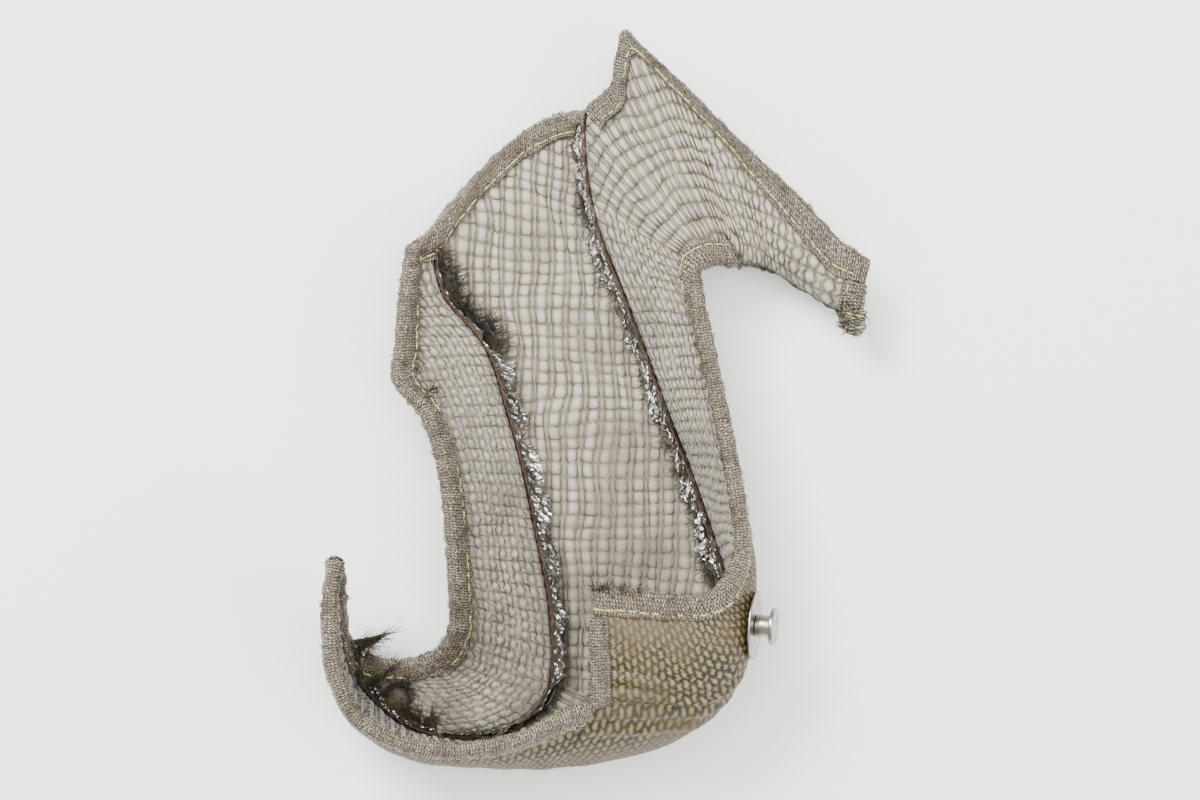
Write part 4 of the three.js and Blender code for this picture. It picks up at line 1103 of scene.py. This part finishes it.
ANCHOR_AXIS = Vector((0.9701, -0.0751, 0.2306)).normalized()
PLATE_RADIUS, PLATE_HEIGHT = 14.5 * MM, 1.0 * MM
POST_RADIUS, POST_LENGTH = 4.65 * MM, 6.5 * MM
HEAD_RADIUS, HEAD_HEIGHT = 8 * MM, 1.8 * MM
PLATE_DISH, HEAD_DISH = 0.15 * MM, 0.7 * MM
DISH_STEPS = ((0.12, 0), (0.1, 0.5), (0.3, 0.5))  # (inset as a share of the radius, share of the dish)
EDGE_ROUNDING = 0.35 * MM


def turned_piece(name, radius, height, low, dish, node, material):
    """A turned piece of the anchor, made upright, rounded and dished, then laid along its axis."""
    bpy.ops.object.select_all(action="DESELECT")
    bpy.ops.mesh.primitive_cylinder_add(vertices=64, radius=radius, depth=height, location=(0, 0, 0))
    piece = bpy.context.active_object
    piece.name = piece.data.name = name
    bpy.ops.object.mode_set(mode="EDIT")
    bpy.ops.mesh.select_all(action="DESELECT")
    bpy.ops.mesh.select_mode(type="FACE")
    bpy.ops.object.mode_set(mode="OBJECT")
    for face in piece.data.polygons:
        face.select = face.normal.z > 0.9
    bpy.ops.object.mode_set(mode="EDIT")
    for inset, sink in DISH_STEPS:
        bpy.ops.mesh.inset(thickness=inset * radius)
        bpy.ops.transform.translate(value=(0, 0, -sink * dish))
    bpy.ops.object.mode_set(mode="OBJECT")
    bevel = piece.modifiers.new("rounded", "BEVEL")
    bevel.width, bevel.segments, bevel.limit_method = EDGE_ROUNDING, 3, "ANGLE"
    bpy.ops.object.modifier_apply(modifier=bevel.name)
    bpy.ops.object.shade_smooth_by_angle(angle=np.radians(35))
    low_corner, high_corner = (Vector(corner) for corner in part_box("anchor_base_plate"))
    place = Matrix.Translation((low_corner + high_corner) / 2)
    turn = Vector((0, 0, 1)).rotation_difference(ANCHOR_AXIS).to_matrix().to_4x4()
    piece.data.transform(place @ turn @ Matrix.Translation((0, 0, low + (height - PLATE_HEIGHT) / 2)))
    piece.data.materials.append(material)
    settle(piece, node)


def lacing_anchor(material):
    """The plate, post and head of the anchor, and the finish of the washer behind it."""
    head_place = PLATE_HEIGHT + POST_LENGTH
    turned_piece("anchor_plate", PLATE_RADIUS, PLATE_HEIGHT, 0, PLATE_DISH, "anchor_base_plate", material)
    turned_piece("anchor_stem", POST_RADIUS, POST_LENGTH, PLATE_HEIGHT, 0, "anchor_post", material)
    turned_piece("anchor_button", HEAD_RADIUS, HEAD_HEIGHT, head_place, HEAD_DISH, "anchor_head", material)
    washer = bpy.data.objects["anchor_backing_washer"]
    for slot in washer.material_slots:
        slot.material = material


# Materials

def linear(hex_colour):
    """An sRGB hex colour as the linear numbers that the shader takes."""
    channels = [int(hex_colour[k : k + 2], 16) / 255 for k in (1, 3, 5)]
    return [c / 12.92 if c <= 0.04045 else ((c + 0.055) / 1.055) ** 2.4 for c in channels]


def add_node(tree, kind, inputs=None, **settings):
    """A node with its settings, and for each input a value or the socket that feeds it."""
    node = tree.nodes.new(kind)
    for key, value in settings.items():
        setattr(node, key, value)
    for key, value in (inputs or {}).items():
        if isinstance(value, bpy.types.NodeSocket):
            tree.links.new(value, node.inputs[key])
        else:
            node.inputs[key].default_value = value
    return node


def start_material(name, roughness, metallic=0.0):
    material = bpy.data.materials.new(name)
    material.use_nodes = True
    tree = material.node_tree
    shader = tree.nodes["Principled BSDF"]
    shader.inputs["Roughness"].default_value = roughness
    shader.inputs["Metallic"].default_value = metallic
    return material, tree, shader


def ramp(tree, fac, *stops):
    """A colour ramp from (place, colour) stops."""
    node = add_node(tree, "ShaderNodeValToRGB", {"Fac": fac})
    elements = node.color_ramp.elements
    while len(elements) < len(stops):
        elements.new(0.5)
    for element, (place, colour) in zip(elements, stops):
        element.position = place
        element.color = (*(linear(colour) if isinstance(colour, str) else colour), 1)
    return node.outputs["Color"]


def mask(tree, fac, low, high, most):
    """How much of a second colour there is: none up to low, and the most from high on."""
    return ramp(tree, fac, (low, (0, 0, 0)), (high, (most, most, most)))


def shade(colour, factor):
    """The colour made darker or lighter, in linear light."""
    return tuple(min(channel * factor, 1) for channel in colour)


def noise(tree, vector, size, detail=3.0, rough=0.5):
    """Noise whose lumps are about this many metres across."""
    inputs = {"Vector": vector, "Scale": 1 / size, "Detail": detail, "Roughness": rough}
    return add_node(tree, "ShaderNodeTexNoise", inputs).outputs["Fac"]


def mix(tree, fac, a, b, blend="MIX"):
    node = add_node(tree, "ShaderNodeMix", data_type="RGBA", blend_type=blend)
    for socket, value in zip((node.inputs[0], node.inputs[6], node.inputs[7]), (fac, a, b)):
        if isinstance(value, bpy.types.NodeSocket):
            tree.links.new(value, socket)
        elif isinstance(value, str):
            socket.default_value = (*linear(value), 1)
        elif isinstance(value, tuple):
            socket.default_value = (*value, 1)
        else:
            socket.default_value = value
    return node.outputs[2]


def bump(tree, shader, height, distance_mm, strength=1.0):
    node = add_node(
        tree, "ShaderNodeBump", {"Height": height, "Distance": distance_mm * MM, "Strength": strength}
    )
    tree.links.new(node.outputs["Normal"], shader.inputs["Normal"])


def math_node(tree, operation, *values):
    node = add_node(tree, "ShaderNodeMath", operation=operation)
    for socket, value in zip(node.inputs, values):
        if isinstance(value, bpy.types.NodeSocket):
            tree.links.new(value, socket)
        else:
            socket.default_value = value
    return node.outputs[0]


def stretched(tree, vector, scale):
    return add_node(tree, "ShaderNodeMapping", {"Vector": vector, "Scale": scale}).outputs["Vector"]


def woven(tree, uv):
    """The height of the cloth's face, as weave() has it."""
    calc = partial(math_node, tree)
    u, v, _ = add_node(tree, "ShaderNodeSeparateXYZ", {"Vector": uv}).outputs
    yarns = calc("DIVIDE", u, YARN_PITCH)
    x = calc("SUBTRACT", calc("FRACT", yarns), 0.5)
    odd = calc("FLOORED_MODULO", calc("FLOOR", yarns), 2)
    slant = calc("MULTIPLY", x, calc("MULTIPLY_ADD", odd, 2 * YARN_SLANT, -YARN_SLANT))
    y = calc("ADD", calc("MULTIPLY_ADD", odd, 0.5, slant), calc("DIVIDE", v, FLOAT_LENGTH))
    across = calc("COSINE", calc("MULTIPLY", x, np.pi))
    along = calc("ABSOLUTE", calc("COSINE", calc("MULTIPLY", y, np.pi)))
    return calc("MULTIPLY", calc("POWER", across, ACROSS_POWER), calc("POWER", along, ALONG_POWER))


def basalt_fabric(base):
    """Plain-woven basalt roving: olive gold, slightly glossy floats with a painted highlight on their tops,
    and painted shade between the yarns.
    """
    material, tree, shader = start_material("basalt_fabric", 0.55)
    place = add_node(tree, "ShaderNodeTexCoord").outputs
    relief = add_node(tree, "ShaderNodeAttribute", attribute_name="relief").outputs["Fac"]
    streaks = noise(tree, stretched(tree, place["UV"], (1, 0.12, 1)), 0.28 * MM, 2)
    relief = math_node(tree, "MULTIPLY", relief, woven(tree, place["UV"]))
    height = math_node(tree, "MULTIPLY_ADD", streaks, 0.5, relief)
    # painted shade: the colour falls to nearly black where the weave is low, between the yarns, and a painted
    # highlight lifts the tops of the floats
    colour = ramp(
        tree, math_node(tree, "MULTIPLY", height, 0.7),
        (0.42, shade(base, 0.03)), (0.62, shade(base, 0.3)), (0.78, base), (0.95, shade(base, 1.7)),
    )
    stain = noise(tree, place["Object"], 26 * MM, 4, 0.6)
    colour = mix(tree, mask(tree, stain, 0.42, 0.68, 0.75), colour, "#4C3F24")
    tree.links.new(colour, shader.inputs["Base Color"])
    bump(tree, shader, streaks, 0.25, 0.7)
    return material


def insulation_wool(base):
    """Ceramic wool: matt, warm white, with painted shade in the hollows where the wire presses on it and
    painted shade towards the toe.
    """
    material, tree, shader = start_material("insulation_wool", 1.0)
    shader.inputs["Sheen Weight"].default_value = 0.25
    place = add_node(tree, "ShaderNodeTexCoord").outputs
    relief = add_node(tree, "ShaderNodeAttribute", attribute_name="relief").outputs["Fac"]
    # painted shade: darker where the relief is low, in the hollows along the wires
    colour = ramp(tree, relief, (0.0, shade(base, 0.13)), (0.4, shade(base, 0.42)), (0.95, base))
    fibres = noise(tree, place["Object"], 0.6 * MM, 5, 0.7)
    colour = mix(tree, mask(tree, fibres, 0.35, 0.75, 0.5), colour, shade(base, 0.72))
    # painted shade: darker towards the toe and in broad blotches
    _, y, _ = add_node(tree, "ShaderNodeSeparateXYZ", {"Vector": place["Object"]}).outputs
    towards_toe = math_node(tree, "MULTIPLY", y, -1.1)
    painted_toe_shade = math_node(tree, "ADD", noise(tree, place["Object"], 26 * MM, 5, 0.65), towards_toe)
    colour = mix(tree, mask(tree, painted_toe_shade, 0.42, 0.72, 0.75), colour, shade(base, 0.24))
    tree.links.new(colour, shader.inputs["Base Color"])
    bump(tree, shader, fibres, 0.5, 0.8)
    return material


def heated_wire(base):
    """Annealed stainless wire, drawn round and grey-brown from heat, so its gloss is dull."""
    material, tree, shader = start_material("heated_wire", 0.42, 0.8)
    place = add_node(tree, "ShaderNodeTexCoord").outputs
    tint = noise(tree, place["Object"], 9 * MM, 3, 0.6)
    colour = ramp(tree, tint, (0.3, shade(base, 0.13)), (0.5, shade(base, 0.35)), (0.72, base))
    tree.links.new(colour, shader.inputs["Base Color"])
    return material


TAPE_COURSE, TAPE_WALE = 1.7 * MM, 1.25 * MM


def knitted_tape(base):
    """Fine knitted wire folded flat: a salt-and-pepper of bright wires with painted glints, and painted shade
    in the gaps, about 1 mm apart.
    """
    material, tree, shader = start_material("knitted_tape", 0.5, 0.55)
    place = add_node(tree, "ShaderNodeTexCoord").outputs
    calc = partial(math_node, tree)
    along, around, _ = add_node(tree, "ShaderNodeSeparateXYZ", {"Vector": place["UV"]}).outputs
    uneven = calc("MULTIPLY", noise(tree, place["UV"], 1.7 * MM, 3, 0.6), 2.2)
    rows = calc("PINGPONG", calc("ADD", calc("DIVIDE", around, TAPE_COURSE), uneven), 0.5)
    legs = calc("ADD", calc("DIVIDE", along, TAPE_WALE), calc("MULTIPLY", rows, 0.9))
    legs = calc("PINGPONG", calc("ADD", legs, uneven), 0.5)
    wires = calc("MULTIPLY", legs, calc("ADD", rows, 0.45))
    # painted glints on the wires; the ramp below paints shade into the gaps between them
    glints = noise(tree, place["UV"], 0.45 * MM, 3, 0.7)
    tone = calc("ADD", calc("MULTIPLY", wires, 1.6), calc("MULTIPLY", glints, 0.75))
    colour = ramp(
        tree, tone, (0.42, shade(base, 0.08)), (0.6, shade(base, 0.36)), (0.82, base), (1.0, shade(base, 2.6))
    )
    patches = noise(tree, place["Object"], 12 * MM, 3)
    colour = mix(tree, mask(tree, patches, 0.4, 0.7, 0.5), colour, "#4A4031")
    tree.links.new(colour, shader.inputs["Base Color"])
    bump(tree, shader, tone, 0.5, 1.0)
    return material


def sewing_thread(name, base):
    """Twisted aramid thread: matt, with a line of painted shade between its strands."""
    material, tree, shader = start_material(name, 0.65)
    place = add_node(tree, "ShaderNodeTexCoord").outputs
    twist = noise(tree, place["Object"], 0.7 * MM, 3, 0.6)
    # painted shade between the strands
    tree.links.new(ramp(tree, twist, (0.35, shade(base, 0.4)), (0.6, base)), shader.inputs["Base Color"])
    bump(tree, shader, twist, 0.2, 0.8)
    return material


def crinkled_foil(base):
    """Rolled aluminium foil, bright where it is creased and dulled by heat between the creases."""
    material, tree, shader = start_material("crinkled_foil", 0.27, 1.0)
    place = add_node(tree, "ShaderNodeTexCoord").outputs
    tint = noise(tree, place["Object"], 6 * MM, 4, 0.6)
    colour = ramp(tree, tint, (0.3, shade(base, 0.18)), (0.55, shade(base, 0.52)), (0.78, base))
    tree.links.new(colour, shader.inputs["Base Color"])
    creases = add_node(
        tree, "ShaderNodeTexVoronoi", {"Vector": place["Object"], "Scale": 1 / (2.2 * MM)},
        feature="DISTANCE_TO_EDGE",
    ).outputs["Distance"]
    bump(tree, shader, creases, 0.8, 0.7)
    return material


def pressed_stainless(base):
    """Stainless steel, turned and pressed: fine turning marks and a soft gloss."""
    material, tree, shader = start_material("pressed_stainless", 0.28, 1.0)
    place = add_node(tree, "ShaderNodeTexCoord").outputs
    marks = noise(tree, place["Object"], 0.5 * MM, 4, 0.7)
    colour = ramp(tree, noise(tree, place["Object"], 5 * MM, 3), (0.3, shade(base, 0.62)), (0.7, base))
    tree.links.new(colour, shader.inputs["Base Color"])
    bump(tree, shader, marks, 0.05, 0.5)
    return material


def pale_floor():
    """Matt and nearly white."""
    material, _, shader = start_material("pale_floor", 0.7)
    shader.inputs["Base Color"].default_value = (*linear("#F6F5F3"), 1)
    return material


def finish_of(name):
    """The material of this name in its colour from the settings, made once."""
    build, setting = FINISHES[name]
    colour = tuple(getattr(bpy.context.scene.blanket_colours, setting))
    return bpy.data.materials.get(name) or build(colour)


FINISHES = {
    "basalt_fabric": (basalt_fabric, "cloth"),
    "insulation_wool": (insulation_wool, "wool"),
    "heated_wire": (heated_wire, "wire"),
    "knitted_tape": (knitted_tape, "tape"),
    "crinkled_foil": (crinkled_foil, "foil"),
    "pressed_stainless": (pressed_stainless, "stainless"),
    "aramid_thread": (lambda base: sewing_thread("aramid_thread", base), "topstitch_thread"),
    "seam_thread": (lambda base: sewing_thread("seam_thread", base), "seam_thread"),
}


def colour_property(name, description, hex_colour):
    return FloatVectorProperty(
        name=name, description=description, default=linear(hex_colour), size=3, min=0, max=1, subtype="COLOR"
    )


def length_property(name, description, default, low, high):
    return FloatProperty(
        name=name, description=description, default=default, min=low, max=high, unit="LENGTH", precision=5
    )


class BlanketColours(bpy.types.PropertyGroup):
    """The colours of the blanket's materials"""

    cloth: colour_property("Cloth", "Colour of the woven basalt cloth", "#6B5F38")
    wool: colour_property("Wool", "Colour of the clean wool in the puffs", "#B6AC98")
    wire: colour_property("Wire", "Colour of the bright parts of the knitted wire", "#A79F8F")
    tape: colour_property("Tape", "Colour of the binding tape's wires", "#8F8676")
    foil: colour_property("Foil", "Colour of the aluminium foil where it is bright", "#CBC9C3")
    stainless: colour_property("Stainless", "Colour of the lacing anchor", "#A39C94")
    topstitch_thread: colour_property("Topstitch thread", "Colour of the thread along the tapes", "#D3CF80")
    seam_thread: colour_property("Seam thread", "Colour of the thread along the two seams", "#4E2A1E")


class BlanketSizes(bpy.types.PropertyGroup):
    """The sizes of the blanket's fine pieces"""

    wire_diameter: length_property(
        "Wire diameter", "Diameter of the knitted wire", 0.32 * MM, 0.1 * MM, 0.8 * MM
    )
    wool_swelling: length_property(
        "Wool swelling", "Height of the wool's puffs in the windows of the knitting", 1.35 * MM, 0, 2 * MM
    )
    weave_depth: length_property("Weave depth", "Depth between the cloth's yarns", 0.65 * MM, 0, 0.9 * MM)
    stitch_length: length_property("Stitch length", "Length of a topstitch", 4.6 * MM, 2 * MM, 10 * MM)


# The operators, one for each group of like pieces

class BLANKET_OT_outer_cloths(bpy.types.Operator):
    """Weave the basalt cloth of the three panels"""

    bl_idname = "blanket.outer_cloths"
    bl_label = "Outer cloths"

    def execute(self, context):
        for name in SHEETS:
            outer_cloth(name, finish_of("basalt_fabric"), context.scene.blanket_sizes.weave_depth)
        return {"FINISHED"}


class BLANKET_OT_wool(bpy.types.Operator):
    """Fill the three panels with wool"""

    bl_idname = "blanket.wool"
    bl_label = "Wool"

    def execute(self, context):
        for name in SHEETS:
            wool_batt(name, finish_of("insulation_wool"), context.scene.blanket_sizes.wool_swelling)
        return {"FINISHED"}


class BLANKET_OT_wire_meshes(bpy.types.Operator):
    """Knit the wire of the three panels"""

    bl_idname = "blanket.wire_meshes"
    bl_label = "Wire meshes"

    def execute(self, context):
        for name in SHEETS:
            knitted_wire(name, finish_of("heated_wire"), context.scene.blanket_sizes.wire_diameter)
        return {"FINISHED"}


class BLANKET_OT_bindings(bpy.types.Operator):
    """Bind the free edges in knitted wire tape"""

    bl_idname = "blanket.bindings"
    bl_label = "Bindings"

    def execute(self, context):
        skins = [binding(name, finish_of("knitted_tape")) for name in TAPES]
        tape_fuzz(skins, finish_of("heated_wire"))
        tufts(skins, finish_of("basalt_fabric"))
        return {"FINISHED"}


class BLANKET_OT_topstitching(bpy.types.Operator):
    """Stitch the tapes down in yellow thread"""

    bl_idname = "blanket.topstitching"
    bl_label = "Topstitching"

    def execute(self, context):
        for name in STITCHED_TAPES:
            topstitches(name, finish_of("aramid_thread"), context.scene.blanket_sizes.stitch_length)
        return {"FINISHED"}


class BLANKET_OT_seams(bpy.types.Operator):
    """Stand the foil and cloth plies up in the two seams"""

    bl_idname = "blanket.seams"
    bl_label = "Seams"

    def execute(self, context):
        for name in SEAMS:
            seam_plies(name, *map(finish_of, ("crinkled_foil", "basalt_fabric", "seam_thread")))
        return {"FINISHED"}


class BLANKET_OT_anchor(bpy.types.Operator):
    """Turn and press the lacing anchor"""

    bl_idname = "blanket.anchor"
    bl_label = "Lacing anchor"

    def execute(self, context):
        lacing_anchor(finish_of("pressed_stainless"))
        return {"FINISHED"}


CAMERA_PLACE = (1.18 * MM, -0.42 * MM, 1540 * MM)
SENSOR_WIDTH, LENS = 36, 104.65  # millimetres
CLIPPING = (0.01, 20)
FLOOR_SIZE = 6
WORLD_STRENGTH = 1.0
LIGHTS = (  # (name, place, watts, size)
    ("key", (-0.7, 0.9, 1.5), 75, 0.8),
    ("fill", (1.1, -0.5, 1.3), 24, 1.2),
    ("top", (0.2, 0.3, 2.2), 44, 1.3),
)


class BLANKET_OT_stage(bpy.types.Operator):
    """Lay the floor, set the lights and the camera"""

    bl_idname = "blanket.stage"
    bl_label = "Stage"

    def execute(self, context):
        bpy.ops.object.select_all(action="DESELECT")
        bpy.ops.mesh.primitive_plane_add(size=FLOOR_SIZE, location=(0, 0, 0))
        floor = context.active_object
        floor.name = "floor"
        floor.data.materials.append(pale_floor())
        for name, place, power, size in LIGHTS:
            bpy.ops.object.light_add(type="AREA", location=place)
            lamp = context.active_object
            lamp.name = name
            lamp.data.energy, lamp.data.size = power, size
            lamp.rotation_euler = (-Vector(place)).to_track_quat("-Z", "Y").to_euler()
        world = bpy.data.worlds.new("soft_studio")
        world.use_nodes = True
        background = world.node_tree.nodes["Background"]
        background.inputs["Color"].default_value = (1, 1, 1, 1)
        background.inputs["Strength"].default_value = WORLD_STRENGTH
        context.scene.world = world
        bpy.ops.object.camera_add(location=CAMERA_PLACE, rotation=(0, 0, 0))
        camera = context.active_object
        camera.data.sensor_width, camera.data.lens = SENSOR_WIDTH, LENS
        camera.data.clip_start, camera.data.clip_end = CLIPPING
        context.scene.camera = camera
        return {"FINISHED"}


class BLANKET_PT_panel(bpy.types.Panel):
    """Lists the blanket's operators"""

    bl_idname = "BLANKET_PT_panel"
    bl_label = "Turbo heat blanket"
    bl_space_type = "VIEW_3D"
    bl_region_type = "UI"
    bl_category = "Blanket"

    def draw(self, context):
        for settings in (context.scene.blanket_sizes, context.scene.blanket_colours):
            for name in settings.__annotations__:
                self.layout.prop(settings, name)
        for operator in OPERATORS:
            self.layout.operator(operator.bl_idname)


OPERATORS = (
    BLANKET_OT_stage, BLANKET_OT_outer_cloths, BLANKET_OT_wool, BLANKET_OT_wire_meshes, BLANKET_OT_bindings,
    BLANKET_OT_topstitching, BLANKET_OT_seams, BLANKET_OT_anchor,
)
CLASSES = (BlanketColours, BlanketSizes, *OPERATORS, BLANKET_PT_panel)


def register():
    for cls in CLASSES:
        bpy.utils.register_class(cls)
    bpy.types.Scene.blanket_colours = PointerProperty(type=BlanketColours)
    bpy.types.Scene.blanket_sizes = PointerProperty(type=BlanketSizes)


def unregister():
    del bpy.types.Scene.blanket_sizes
    del bpy.types.Scene.blanket_colours
    for cls in reversed(CLASSES):
        bpy.utils.unregister_class(cls)


def main():
    register()
    bpy.ops.blanket.stage()
    bpy.ops.blanket.outer_cloths()
    bpy.ops.blanket.wool()
    bpy.ops.blanket.wire_meshes()
    bpy.ops.blanket.bindings()
    bpy.ops.blanket.topstitching()
    bpy.ops.blanket.seams()
    bpy.ops.blanket.anchor()


if __name__ == "__main__":
    main()
